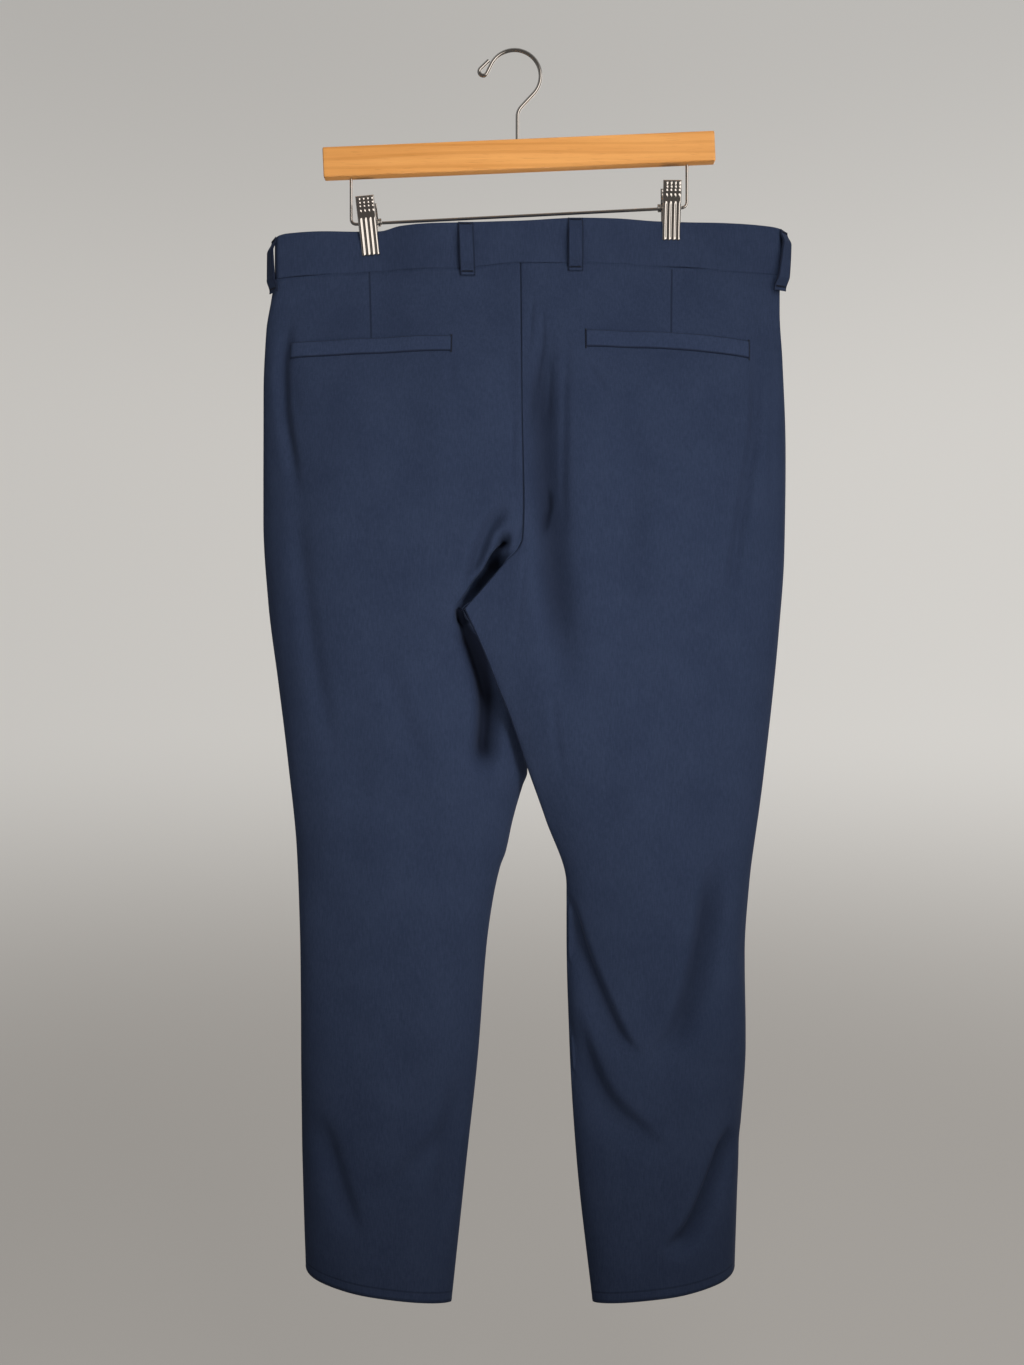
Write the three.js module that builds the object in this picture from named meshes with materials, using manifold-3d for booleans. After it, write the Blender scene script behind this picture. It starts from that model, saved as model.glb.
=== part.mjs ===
// Slim chinos hung by the waistband from a clip hanger. Millimetres, +Z up.
// The seat faces -Y and +X is to the right of someone who looks at the seat.
// The origin is the inside top of the hook, where a rail would carry it.

import * as THREE from "three";
import { mergeVertices } from "three/addons/utils/BufferGeometryUtils.js";
import Module from "manifold-3d";

const wasm = await Module();
wasm.setup();

// Driving sizes.
const clothWall = 1.4;
const bandWall = 2.2;
const trimWall = 1.2;
const seamGap = 0.3;
const bandHalfDepth = 10.5; // half the waistband from outer face to outer face
const pinchedHalfDepth = 2.45; // the same inside a clip
const pinchReach = 32; // how far past a clip the band stays pulled flat
const bandSeam = 0.7; // from the waistband down to the panels
const frontDrop = 12; // how much lower the waistband lies in front
const crotch = { x: -50, y: -42, z: -559 };
const hemInnerZ = -1243;
const hemOuterZ = -1214;
const sideTopZ = -226;
const rodRadius = 1.5;
const hookRadius = 1.9;
const wireClearance = 0.35;
const earPlay = 0.8;
const bar = { length: 391, depth: 12, height: 30, x: 3.5, z: -104, tilt: 0.042, edge: 1.6 };
const jaw = { width: 18.5, up: 24, down: 33, plate: 1, flute: 0.9 };

// Each clip: where it holds the rod, how far it leans and which side its spring shows on.
const clips = {
  left: { x: -147.4, lean: 0.096, springSide: 1 },
  right: { x: 155.5, lean: -0.008, springSide: -1 },
};
const rodEnds = { left: { x: -164.3, low: -172.6 }, right: { x: 171.4, low: -155.6 } };

// A table with named columns, one row for each section, from the top down.
function table(names, rows) {
  const columns = names.split(" ");
  return rows.map((row) => Object.fromEntries(columns.map((name, i) => [name, row[i]])));
}

// Outlines of the waistband along its length.
const bandEdges = table("x top bottom", [
  [-240.5, -187, -229.5],
  [-227, -183.6, -227.6],
  [-172, -180.4, -222.8],
  [-135.5, -179.7, -220.4],
  [-114.9, -175.4, -219.6],
  [-57, -173.5, -218.8],
  [5, -171.8, -213.8],
  [67, -168.9, -214],
  [97, -169.2, -214.3],
  [166, -170.7, -216],
  [214, -173.7, -222.2],
  [254, -176.9, -225.1],
  [267, -179.5, -227],
]);

const sideSeams = {
  left: table("z x y", [
    [-226, -240.5, 0],
    [-250, -244.8, 0],
    [-280, -249.8, 0],
    [-340, -252.5, 0],
    [-470, -252.3, 0],
    [-550, -247.3, 0],
    [-630, -237.3, 0],
    [-710, -227.3, 0],
    [-800, -218.7, 1],
    [-900, -215.2, 2],
    [-1070, -214.3, 4],
    [-1216, -210.4, 6],
  ]),
  right: table("z x y", [
    [-224, 267, 0],
    [-236, 264.5, 0],
    [-260, 264.6, 0],
    [-310, 267.6, 0],
    [-400, 270.4, 0],
    [-500, 268.9, 0],
    [-590, 262.4, 0],
    [-670, 254.3, 0],
    [-750, 244.2, 0],
    [-830, 234, 1],
    [-900, 229.6, 2],
    [-990, 230.2, 3],
    [-1110, 223.4, 5],
    [-1216, 219.9, 6],
  ]),
};

// The seat seam, the front rise and both inseams. All four meet at the crotch.
const seatSeam = table("z x y", [
  [-213, 4.9, -9],
  [-254, 5.4, -19],
  [-356, 6.2, -35],
  [-454, 7.8, -43],
  [-491, 6.5, -45],
  [-500, 2.9, -45],
  [-511, -7.4, -45],
  [crotch.z, crotch.x, crotch.y],
]);
const frontRise = table("z x y", [
  [-222, 2, 9],
  [-300, 3, 24],
  [-400, 4, 31],
  [-470, 2, 29],
  [-505, -6, 18],
  [-530, -18, 2],
  [-545, -30, -15],
  [crotch.z, crotch.x, crotch.y],
]);
const inseams = {
  left: table("z x y", [
    [crotch.z, crotch.x, crotch.y],
    [-570, -43.5, -34],
    [-585, -34, -26],
    [-605, -19, -15],
    [-634, -2, -4],
    [-680, 10.5, 2],
    [-720, 12.5, 4],
    [-734, 7.5, 4],
    [-768, -2.5, 3],
    [-800, -9.5, 1],
    [-813, -14.5, 0],
    [-849, -22.5, -2],
    [-892, -28.4, -4],
    [-996, -36.4, -6],
    [-1105, -48.2, -8],
    [hemInnerZ, -63, -12],
  ]),
  right: table("z x y", [
    [crotch.z, crotch.x, crotch.y],
    [-597, -32.7, -37],
    [-634, -18.1, -33],
    [-666, -5.5, -29],
    [-718, 12.2, -24],
    [-766, 29.1, -18],
    [-831, 50, -12],
    [-886, 50.1, -9],
    [-996, 53.2, -8],
    [-1105, 60.1, -9],
    [hemInnerZ, 75.8, -12],
  ]),
};

// How full each panel is: its section leaves the inner edge towards x1, y1 and reaches
// the side seam from y2, the ends of a cubic curve's two handles.
const fullness = {
  back_left: table("z x1 y1 reach y2", [
    [-214, -85, -9, 4, -8],
    [-300, -84, -30, 8, -22],
    [-400, -74, -46, 8, -38],
    [-480, -72, -53, 6, -46],
    [-559, -80, -50, 4, -52],
    [-600, -62, -50, 4, -53],
    [-650, -22, -52, 4, -54],
    [-720, 4, -54, 3, -53],
    [-831, -24, -52, 2, -50],
    [hemInnerZ, -68, -50, 2, -50],
  ]),
  back_right: table("z x1 y1 reach y2", [
    [-214, 95, -9, 4, -8],
    [-300, 96, -30, 8, -22],
    [-400, 87, -46, 8, -38],
    [-480, 70, -53, 6, -46],
    [-559, 28, -48, 4, -53],
    [-634, 26, -51, 4, -54],
    [-720, 32, -54, 3, -53],
    [-831, 57, -52, 2, -50],
    [hemInnerZ, 81, -50, 2, -50],
  ]),
  front_left: table("z x1 y1 reach y2", [
    [-224, -88, 9, 4, 8],
    [-300, -87, 28, 8, 22],
    [-400, -76, 42, 8, 38],
    [-470, -56, 46, 6, 48],
    [-520, -32, 34, 5, 58],
    [-559, -24, 18, 4, 66],
    [-600, -16, 20, 4, 62],
    [-650, 0, 40, 4, 56],
    [-720, 7, 52, 3, 52],
    [-831, -23, 50, 2, 50],
    [hemInnerZ, -68, 48, 2, 48],
  ]),
  front_right: table("z x1 y1 reach y2", [
    [-224, 92, 9, 4, 8],
    [-300, 93, 28, 8, 22],
    [-400, 84, 42, 8, 38],
    [-470, 62, 42, 6, 46],
    [-520, 34, 16, 5, 60],
    [-559, 14, -10, 5, 78],
    [-634, 22, -6, 4, 72],
    [-720, 37, 25, 3, 58],
    [-831, 58, 46, 2, 50],
    [hemInnerZ, 81, 48, 2, 48],
  ]),
};

// The left seat dives behind the fork of the right one, this deep beside the seam.
const tuckReach = 17;
const tuckStart = 4;
const tuck = table("z depth", [
  [-497, 0],
  [-515, 9],
  [-538, 13],
  [-550, 8],
  [crotch.z, 0],
]);

// The largest folds: soft troughs pressed into a panel along a line, fading at its ends
// and at the panel's own edges.
const foldEnds = 0.35;
const foldMargin = 0.08;
const folds = table("panel x1 z1 x2 z2 width depth", [
  ["back_right", 33, -330, 39, -500, 14, 5],
  ["back_right", 39, -500, 52, -620, 20, 4],
  ["back_right", 82, -905, 122, -1006, 20, 6],
  ["back_right", 190, -868, 160, -1000, 22, 4],
  ["back_right", 61, -1036, 158, -1108, 22, 5],
  ["back_right", 216, -1096, 176, -1200, 14, 6],
  ["back_left", -229, -262, -229, -428, 16, 4],
  ["back_left", -56, -1040, -80, -1110, 18, 3],
  ["back_left", -172, -1112, -150, -1170, 20, 3],
  ["back_left", -60, -640, -30, -800, 18, 4],
  ["front_left", -40, -470, -120, -620, 22, 6],
  ["front_left", -60, -900, -150, -985, 22, 5],
  ["front_left", -200, -1090, -130, -1180, 20, 4],
  ["front_right", 50, -480, 120, -640, 22, 6],
  ["front_right", 210, -880, 120, -990, 22, 5],
  ["front_right", 80, -1060, 160, -1150, 20, 4],
]);

// Heights of the rows along the inner edges and places of the columns along a section.
const rowHeights = [
  -213, -235, -260, -290, -325, -365, -410, -450, -480, -500, -518, -532, -546, crotch.z,
  -570, -585, -605, -634, -668, -700, -722, -745, -775, -810, -840, -880, -925, -970,
  -1020, -1075, -1135, -1195, hemInnerZ,
];
const crotchRow = rowHeights.indexOf(crotch.z);
const columnPlaces = [0, 0.012, 0.04, 0.09, 0.16, 0.25, 0.36, 0.48, 0.6, 0.71, 0.81, 0.89, 0.95, 0.985, 1];

// How far below the waistband the panels take to open out to their own depth.
const openReach = 110;

const clamp01 = (v) => Math.min(1, Math.max(0, v));
const mix = (a, b, t) => a + (b - a) * t;
const smooth = (t) => t * t * (3 - 2 * t);

// A column of a table at any place along its first column, by a curve with no overshoot.
function along(rows, key, column, at) {
  const n = rows.length;
  const up = rows[n - 1][key] > rows[0][key] ? 1 : -1;
  const pos = (i) => rows[i][key] * up;
  const x = at * up;
  if (x <= pos(0)) return rows[0][column];
  if (x >= pos(n - 1)) return rows[n - 1][column];
  let i = 0;
  while (pos(i + 1) < x) i += 1;
  const secant = (k) => (rows[k + 1][column] - rows[k][column]) / (pos(k + 1) - pos(k));
  const slope = (k) => {
    if (k === 0) return secant(0);
    if (k === n - 1) return secant(n - 2);
    const a = secant(k - 1);
    const b = secant(k);
    return a * b <= 0 ? 0 : (2 * a * b) / (a + b);
  };
  const span = pos(i + 1) - pos(i);
  const t = (x - pos(i)) / span;
  const t2 = t * t;
  const t3 = t2 * t;
  return (
    (2 * t3 - 3 * t2 + 1) * rows[i][column] +
    (t3 - 2 * t2 + t) * span * slope(i) +
    (3 * t2 - 2 * t3) * rows[i + 1][column] +
    (t3 - t2) * span * slope(i + 1)
  );
}

const bandLeft = bandEdges[0].x;
const bandRight = bandEdges[bandEdges.length - 1].x;
const bandMiddle = (bandLeft + bandRight) / 2;
const bandReach = (bandRight - bandLeft) / 2;
const foldRadius = 6; // of the waistband where it turns at the sides
const bandTaper = 0.35;

// Half the waistband's depth at x: flat at the clips, round where it folds at the sides.
function bandHalf(x) {
  let pinch = 0;
  for (const clip of Object.values(clips)) {
    const past = Math.max(0, Math.abs(x - clip.x) - jaw.width / 2 - 1);
    pinch = Math.max(pinch, Math.exp(-((past / pinchReach) ** 2)));
  }
  const fromMiddle = Math.min(Math.abs(x - bandMiddle), bandReach);
  const taper = 1 - bandTaper * (fromMiddle / bandReach) ** 4;
  const open = mix(bandHalfDepth * taper, pinchedHalfDepth, pinch);
  const past = Math.max(0, fromMiddle - (bandReach - foldRadius)) / foldRadius;
  return open * Math.sqrt(1 - past * past);
}

// How much lower the front of the waistband lies at x.
const bandDrop = (x) => frontDrop * Math.max(0, 1 - ((x - bandMiddle) / bandReach) ** 2);
const bandBottom = (x, front) => along(bandEdges, "x", "bottom", x) - (front ? bandDrop(x) : 0);
const bandTop = (x, front) => along(bandEdges, "x", "top", x) - (front ? bandDrop(x) : 0);

const panels = {};
for (const side of ["left", "right"]) {
  for (const face of ["back", "front"]) {
    const name = face + "_" + side;
    panels[name] = {
      name,
      side,
      face,
      out: side === "left" ? -1 : 1,
      depth: face === "back" ? -1 : 1,
      rise: face === "back" ? seatSeam : frontRise,
    };
  }
}

// How far a panel's folds press it in at x, z.
function foldDepth(name, x, z) {
  let sum = 0;
  for (const fold of folds) {
    if (fold.panel !== name) continue;
    const dx = fold.x2 - fold.x1;
    const dz = fold.z2 - fold.z1;
    const at = clamp01(((x - fold.x1) * dx + (z - fold.z1) * dz) / (dx * dx + dz * dz));
    const away = Math.hypot(x - fold.x1 - at * dx, z - fold.z1 - at * dz);
    const ends = mix(foldEnds, 1, Math.sqrt(Math.sin(Math.PI * at)));
    sum += fold.depth * ends * Math.exp(-((away / fold.width) ** 2));
  }
  return sum;
}

// A panel's outer point at height z and place t across, 0 at its inner edge, 1 at the side.
function sectionPoint(panel, z, t) {
  const inner = z > crotch.z ? panel.rise : inseams[panel.side];
  const full = fullness[panel.name];
  const x0 = along(inner, "z", "x", z);
  const y0 = along(inner, "z", "y", z);
  const x3 = along(sideSeams[panel.side], "z", "x", z);
  const y3 = along(sideSeams[panel.side], "z", "y", z);
  const x1 = along(full, "z", "x1", z);
  const x2 = x3 - panel.out * along(full, "z", "reach", z);
  const y1 = along(full, "z", "y1", z);
  const y2 = along(full, "z", "y2", z);
  const s = 1 - t;
  const x = s * s * s * x0 + 3 * s * s * t * x1 + 3 * s * t * t * x2 + t * t * t * x3;
  let y = s * s * s * y0 + 3 * s * s * t * y1 + 3 * s * t * t * y2 + t * t * t * y3;
  const bandX = (x * (panel.out < 0 ? bandLeft : bandRight)) / x3;
  const below = clamp01((bandBottom(bandX, panel.face === "front") - z) / openReach);
  const open = below * (2 - below);
  const underBand = Math.max(0, bandHalf(bandX) - 0.5 * (bandWall - clothWall));
  y = mix(panel.depth * underBand, y, open);
  if (panel.name === "back_left") {
    const fromSeam = Math.abs(x - x0);
    const step = 1 - Math.exp(-((fromSeam / tuckStart) ** 2));
    y += along(tuck, "z", "depth", z) * step * Math.exp(-((fromSeam / tuckReach) ** 2));
  }
  y -= panel.depth * foldDepth(panel.name, x, z) * smooth(clamp01(Math.min(t, 1 - t) / foldMargin));
  return new THREE.Vector3(x, y, z);
}

// The outer points of the panels and the waistband, a grid each, for what lies on them.
const skins = {};

// Where the flat facets of some skins are cut at height z: the two ends of each cut.
function cutsAt(names, z) {
  const cuts = [];
  const cross = (corners) => {
    const ends = [];
    corners.forEach((p, i) => {
      const q = corners[(i + 1) % 3];
      if (p.z < z !== q.z < z) ends.push(p.clone().lerp(q, (z - p.z) / (q.z - p.z)));
    });
    if (ends.length === 2) cuts.push(ends);
  };
  for (const grid of names.map((name) => skins[name])) {
    for (let j = 0; j + 1 < grid.length; j += 1) {
      for (let i = 0; i + 1 < grid[j].length; i += 1) {
        cross([grid[j][i], grid[j + 1][i], grid[j + 1][i + 1]]);
        cross([grid[j][i], grid[j + 1][i + 1], grid[j][i + 1]]);
      }
    }
  }
  return cuts;
}

// A panel's outer point at x, z, moved out by lift.
function onPanel(name, x, z, lift) {
  const cut = cutsAt([name], z).find(([p, q]) => (p.x - x) * (q.x - x) <= 0);
  const [p, q] = cut;
  const y = mix(p.y, q.y, (x - p.x) / (q.x - p.x || 1));
  return new THREE.Vector3(x, y + panels[name].depth * lift, z);
}

// All outer points of a panel, a row of points for each height. The first row follows the
// waistband's lower edge, and the next few rows pass from its shape to straight ones.
const shapedRows = 5;
function panelGrid(panel) {
  const front = panel.face === "front";
  const drop = front ? bandDrop(0) : 0;
  const fall = (hemOuterZ - sideTopZ) / (hemInnerZ - rowHeights[0]);
  return rowHeights.map((height, row) => {
    const innerZ = height - drop * clamp01(1 - row / (shapedRows + 1));
    const outerZ = sideTopZ + (height - rowHeights[0]) * fall;
    const shaped = smooth(clamp01(1 - row / shapedRows));
    return columnPlaces.map((t) => {
      const z = mix(innerZ, outerZ, t);
      const seam = bandBottom(sectionPoint(panel, z, t).x, front) - bandSeam;
      const straightSeam = mix(rowHeights[0] - drop, sideTopZ, t);
      return sectionPoint(panel, z + shaped * (seam - straightSeam), t);
    });
  });
}

// Closes a grid of outer points into a wall. inward holds each point's way to the inner
// face. The faces are turned outward whichever way the grid runs.
function wallMesh(grid, inward) {
  const rows = grid.length;
  const columns = grid[0].length;
  const inner = grid.map((line, j) => line.map((point, i) => point.clone().add(inward[j][i])));
  const positions = [];
  for (const sheet of [grid, inner]) {
    for (const line of sheet) for (const point of line) positions.push(point.x, point.y, point.z);
  }
  const at = (sheet, j, i) => (sheet * rows + j) * columns + i;
  const index = [];
  const quad = (a, b, c, d) => index.push(a, b, c, a, c, d);
  for (let j = 0; j + 1 < rows; j += 1) {
    for (let i = 0; i + 1 < columns; i += 1) {
      quad(at(0, j, i), at(0, j + 1, i), at(0, j + 1, i + 1), at(0, j, i + 1));
      quad(at(1, j, i), at(1, j, i + 1), at(1, j + 1, i + 1), at(1, j + 1, i));
    }
    quad(at(0, j, 0), at(1, j, 0), at(1, j + 1, 0), at(0, j + 1, 0));
    const last = columns - 1;
    quad(at(0, j + 1, last), at(1, j + 1, last), at(1, j, last), at(0, j, last));
  }
  for (let i = 0; i + 1 < columns; i += 1) {
    const last = rows - 1;
    quad(at(0, 0, i + 1), at(1, 0, i + 1), at(1, 0, i), at(0, 0, i));
    quad(at(0, last, i), at(1, last, i), at(1, last, i + 1), at(0, last, i + 1));
  }
  const geometry = new THREE.BufferGeometry();
  geometry.setAttribute("position", new THREE.Float32BufferAttribute(positions, 3));
  geometry.setIndex(index);
  if (signedVolume(geometry) < 0) geometry.setIndex(index.reverse());
  return geometry;
}

function signedVolume(geometry) {
  const flat = geometry.toNonIndexed().getAttribute("position");
  const corners = [0, 1, 2].map(() => new THREE.Vector3());
  let sum = 0;
  for (let i = 0; i < flat.count; i += 3) {
    corners.forEach((corner, k) => corner.fromBufferAttribute(flat, i + k));
    sum += corners[0].dot(corners[1].clone().cross(corners[2])) / 6;
  }
  return sum;
}

// The ways from the outer points to the inner face. before and after give the neighbours'
// points beyond the first and last column, so that both sides of a seam lean alike.
// thin tells how much of the wall the first column keeps in a row.
const sharpest = 0.4; // cosine of half the sharpest turn that keeps its full wall
const none = () => null;
function inwardWays(grid, thickness, turn, before = none, after = none, thin = () => 1) {
  return grid.map((line, j) =>
    line.map((point, i) => {
      const prior = i > 0 ? line[i - 1] : before(j);
      const next = i + 1 < line.length ? line[i + 1] : after(j);
      const into = point.clone().sub(prior ?? point);
      const onward = (next ?? point).clone().sub(point);
      const across = into.clone().normalize().add(onward.clone().normalize()).normalize();
      const above = grid[Math.max(0, j - 1)][i];
      const under = grid[Math.min(grid.length - 1, j + 1)][i];
      const down = under.clone().sub(above).normalize();
      const way = across.clone().cross(down).normalize();
      const bend = prior && next ? across.dot(onward.normalize()) : 1;
      const kept = i === 0 ? thin(j) : 1;
      return way.multiplyScalar((turn * thickness * kept) / Math.max(sharpest, bend));
    }),
  );
}

const parts = new THREE.Group();
parts.name = "chinos_on_clip_hanger";

function add(name, geometry, material) {
  const mesh = new THREE.Mesh(geometry, material);
  mesh.name = name;
  parts.add(mesh);
  return mesh;
}

const finish = (color, roughness, metalness) =>
  new THREE.MeshStandardMaterial({ color, roughness, metalness, side: THREE.DoubleSide });
const twill = finish(0x2e3850, 0.85, 0);
const buttonResin = finish(0x20283a, 0.45, 0);
const varnishedWood = finish(0xd6984e, 0.45, 0);
const chrome = finish(0xd2d4d8, 0.12, 1);

// The plane halfway between two walls that meet in a seam, in row j. at is the seam's
// column and next the one beside it. The normal points to the wall named first.
function seamPlane(own, other, j, at, next) {
  const seam = own[j][at];
  const down = own[Math.min(j + 1, own.length - 1)][at].clone().sub(own[Math.max(j - 1, 0)][at]);
  const normal = own[j][next].clone().sub(seam).normalize();
  normal.sub(other[j][next].clone().sub(seam).normalize());
  normal.projectOnPlane(down.normalize()).normalize();
  return { seam: seam.clone(), normal };
}

// Moves a point to at least half a seam gap off a seam's plane.
function keepOff(point, { seam, normal }) {
  const short = seamGap / 2 - point.clone().sub(seam).dot(normal);
  if (short > 0) point.addScaledVector(normal, short);
}

// The four panels. All inner edges meet at the crotch, so the wall is thin there.
const thinReach = 30;
const thinnest = 0.15;
const nearSeam = 5; // columns that are held off a seam's plane
function makePanels() {
  for (const panel of Object.values(panels)) skins[panel.name] = panelGrid(panel);
  const last = columnPlaces.length - 1;
  const walls = Object.values(panels).map((panel) => {
    const grid = skins[panel.name];
    const otherSide = panel.side === "left" ? "right" : "left";
    const otherFace = panel.face === "back" ? "front" : "back";
    const acrossRise = skins[panel.face + "_" + otherSide];
    const acrossInseam = skins[otherFace + "_" + panel.side];
    const seams = grid.map((_, j) => {
      const inner = [];
      if (j <= crotchRow) inner.push(seamPlane(grid, acrossRise, j, 0, 1));
      if (j >= crotchRow) inner.push(seamPlane(grid, acrossInseam, j, 0, 1));
      return { inner, side: seamPlane(grid, acrossInseam, j, last, last - 1) };
    });
    const before = (j) => (j < crotchRow ? acrossRise : acrossInseam)[j][1];
    const after = (j) => acrossInseam[j][last - 1];
    const fromCrotch = (j) => Math.abs(rowHeights[j] - crotch.z) / thinReach;
    const thin = (j) => Math.max(thinnest, Math.min(1, fromCrotch(j)));
    const turn = -panel.out * panel.depth;
    const ways = inwardWays(grid, clothWall, turn, before, after, thin);
    return { panel, grid, seams, ways };
  });
  for (const { panel, grid, seams, ways } of walls) {
    grid.forEach((line, j) => {
      line.forEach((point, i) => {
        const inside = point.clone().add(ways[j][i]);
        const planes = [];
        if (i < nearSeam) planes.push(...seams[j].inner);
        if (i > last - nearSeam) planes.push(seams[j].side);
        for (const plane of planes) {
          keepOff(point, plane);
          keepOff(inside, plane);
        }
        ways[j][i] = inside.sub(point);
      });
    });
    add(panel.name, wallMesh(grid, ways), twill);
  }
}

// The waistband is three walls that meet at the side folds: the right front, whose under end lies beneath
// the lap, the back, and the left front with its lapped end.
const lapEnd = 30;
const underEnd = -10;
const lapStep = bandWall + 0.6; // how much deeper the under end lies
const lapKept = 28; // how far past the lapped end it keeps that depth
const lapFade = 40;
const bandLevels = 3;

// One wall of the waistband, from one angle round it to another.
function makeBand(name, front, from, to, stations, depthAt) {
  const grid = [];
  for (let j = 0; j <= bandLevels; j += 1) {
    const line = [];
    for (let i = 0; i <= stations; i += 1) {
      const x = bandMiddle - bandReach * Math.cos(mix(from, to, i / stations));
      const y = (front ? 1 : -1) * Math.max(seamGap / 2, depthAt(x));
      const z = mix(bandTop(x, front), bandBottom(x, front), j / bandLevels);
      line.push(new THREE.Vector3(x, y, z));
    }
    grid.push(line);
  }
  // Past a side fold the next point is the mirror of the last but one.
  const mirrored = ({ x, y, z }) => new THREE.Vector3(x, -y, z);
  const atFold = (angle) => angle === 0 || angle === Math.PI;
  const before = (j) => (atFold(from) ? mirrored(grid[j][1]) : undefined);
  const after = (j) => (atFold(to) ? mirrored(grid[j][stations - 1]) : undefined);
  skins[name] = grid;
  add(name, wallMesh(grid, inwardWays(grid, bandWall, -1, before, after)), twill);
}

function makeWaistband() {
  const angleOf = (x) => Math.acos((bandMiddle - x) / bandReach);
  const under = (x) => lapStep * smooth(clamp01((lapEnd + lapKept + lapFade - x) / lapFade));
  makeBand("band_front_right", true, angleOf(underEnd), Math.PI, 15, (x) => bandHalf(x) - under(x));
  makeBand("band_back", false, Math.PI, 0, 30, bandHalf);
  makeBand("band_front_left", true, 0, angleOf(lapEnd), 15, bandHalf);
}

// A belt loop stands off the band so that a belt passes, and is sewn down at both ends.
// facing turns it about the upright, and lean slants it along the band. levels are the
// heights of its rows, from its top down.
const loop = {
  width: 15,
  wall: 1.6,
  standOff: 5.8,
  sewn: 2,
  rise: 7,
  past: 5,
  levels: [0, 0.04, 0.1, 0.19, 0.35, 0.5, 0.65, 0.81, 0.9, 0.96, 1],
};
function makeLoop(name, x, front, facing, lean) {
  const depth = front ? 1 : -1;
  const out = new THREE.Vector3(Math.sin(facing), depth * Math.cos(facing), 0);
  const sideways = new THREE.Vector3(-out.y, out.x, 0);
  const top = bandTop(x, front) - 0.5;
  const length = top - bandBottom(x, front) + loop.past;
  const seat = new THREE.Vector3(x, depth * bandHalf(x), 0);
  const reach = loop.width / 2 + 1;
  const grid = loop.levels.map((level) => {
    const down = level * length;
    const middle = seat.clone().addScaledVector(sideways, lean * (down - length / 2));
    let away = 0;
    for (const cut of cutsAt(Object.keys(skins), top - down)) {
      const [p, q] = cut.map((end) => end.sub(middle));
      const span = q.dot(sideways) - p.dot(sideways);
      for (const edge of [-reach, reach]) {
        const t = clamp01((edge - p.dot(sideways)) / (span || 1));
        const end = p.clone().lerp(q, t);
        if (Math.abs(end.dot(sideways)) < reach + 0.01) away = Math.max(away, end.dot(out));
      }
    }
    const fromEnd = Math.min(down, length - down);
    away += seamGap + loop.wall;
    away += loop.standOff * smooth(clamp01((fromEnd - loop.sewn) / loop.rise));
    return [-0.5, 0.5].map((across) => {
      const point = middle.clone().addScaledVector(out, away);
      point.addScaledVector(sideways, across * loop.width);
      point.z = top - down;
      return point;
    });
  });
  const ways = grid.map((row) => row.map(() => out.clone().multiplyScalar(-loop.wall)));
  add(name, wallMesh(grid, ways), twill);
}

// A strip that lies on a panel between two edges, made from the panel's own points.
function makeStrip(name, panel, material, { columns, rows, lift, wall, at }) {
  const grid = [];
  for (let j = 0; j <= rows; j += 1) {
    const line = [];
    for (let i = 0; i <= columns; i += 1) {
      const { x, z } = at(i / columns, j / rows);
      line.push(onPanel(panel, x, z, lift + wall));
    }
    grid.push(line);
  }
  const back = new THREE.Vector3(0, -panels[panel].depth * wall, 0);
  add(name, wallMesh(grid, grid.map((line) => line.map(() => back))), material);
}

// Corners of the back pocket welts, top edge then depth.
const welts = {
  left: { x1: -223, z1: -294.3, x2: -63, z2: -289.8, height: 16.5, bow: 1 },
  right: { x1: 69, z1: -284, x2: 231, z2: -292.6, height: 18, bow: 3 },
};

// The slant of each front pocket: from the waistband out to the side seam.
const slant = { fromSide: 62, top: -240, bottom: -392, width: 9 };

const fly = { width: 36, top: -231, bottom: -392 };

function makeTrim() {
  for (const [side, welt] of Object.entries(welts)) {
    makeStrip("welt_" + side, "back_" + side, twill, {
      columns: 20,
      rows: 2,
      lift: 0.6,
      wall: trimWall,
      at: (s, t) => ({
        x: mix(welt.x1, welt.x2, s),
        z: mix(welt.z1, welt.z2, s) + welt.bow * Math.sin(Math.PI * s) - welt.height * t,
      }),
    });
    const out = panels["front_" + side].out;
    makeStrip("pocket_edge_" + side, "front_" + side, twill, {
      columns: 2,
      rows: 14,
      lift: 0.7,
      wall: trimWall,
      at: (s, t) => {
        const z = mix(slant.top, slant.bottom, t);
        const seamX = along(sideSeams[side], "z", "x", z);
        const inFromSeam = mix(slant.fromSide, 11, t ** 0.8) + slant.width * (1 - s);
        return { x: seamX - out * inFromSeam, z };
      },
    });
  }
  makeStrip("fly", "front_left", twill, {
    columns: 4,
    rows: 10,
    lift: 0.8,
    wall: trimWall,
    at: (s, t) => ({
      x: mix(-fly.width, -1, s) + fly.width * 0.9 * smooth(clamp01((t - 0.72) / 0.28)) * (1 - s),
      z: mix(fly.top, fly.bottom, t),
    }),
  });
}

// The waist button sits on the lapped end.
function makeButton() {
  const rim = 8.5;
  const profile = [
    [0, 0],
    [rim - 1, 0],
    [rim, 0.8],
    [rim, 2.4],
    [rim - 1.2, 3],
    [rim - 3, 2.5],
    [0, 2.3],
  ];
  const shape = profile.map(([r, h]) => new THREE.Vector2(r, h));
  const button = add("waist_button", new THREE.LatheGeometry(shape, 20), buttonResin);
  const x = lapEnd - 14;
  const z = (bandTop(x, 1) + bandBottom(x, 1)) / 2;
  button.position.set(x, bandHalf(x) + seamGap, z);
}

// A wire through given points: each point is one ring of the extrusion.
class WirePath extends THREE.Curve {
  constructor(points) {
    super();
    this.points = points;
  }
  getPoint(t, target = new THREE.Vector3()) {
    const place = clamp01(t) * (this.points.length - 1);
    const i = Math.min(Math.floor(place), this.points.length - 2);
    return target.lerpVectors(this.points[i], this.points[i + 1], place - i);
  }
  getPointAt(t, target) {
    return this.getPoint(t, target);
  }
  getTangentAt(t, target) {
    return this.getTangent(t, target);
  }
}

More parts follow.
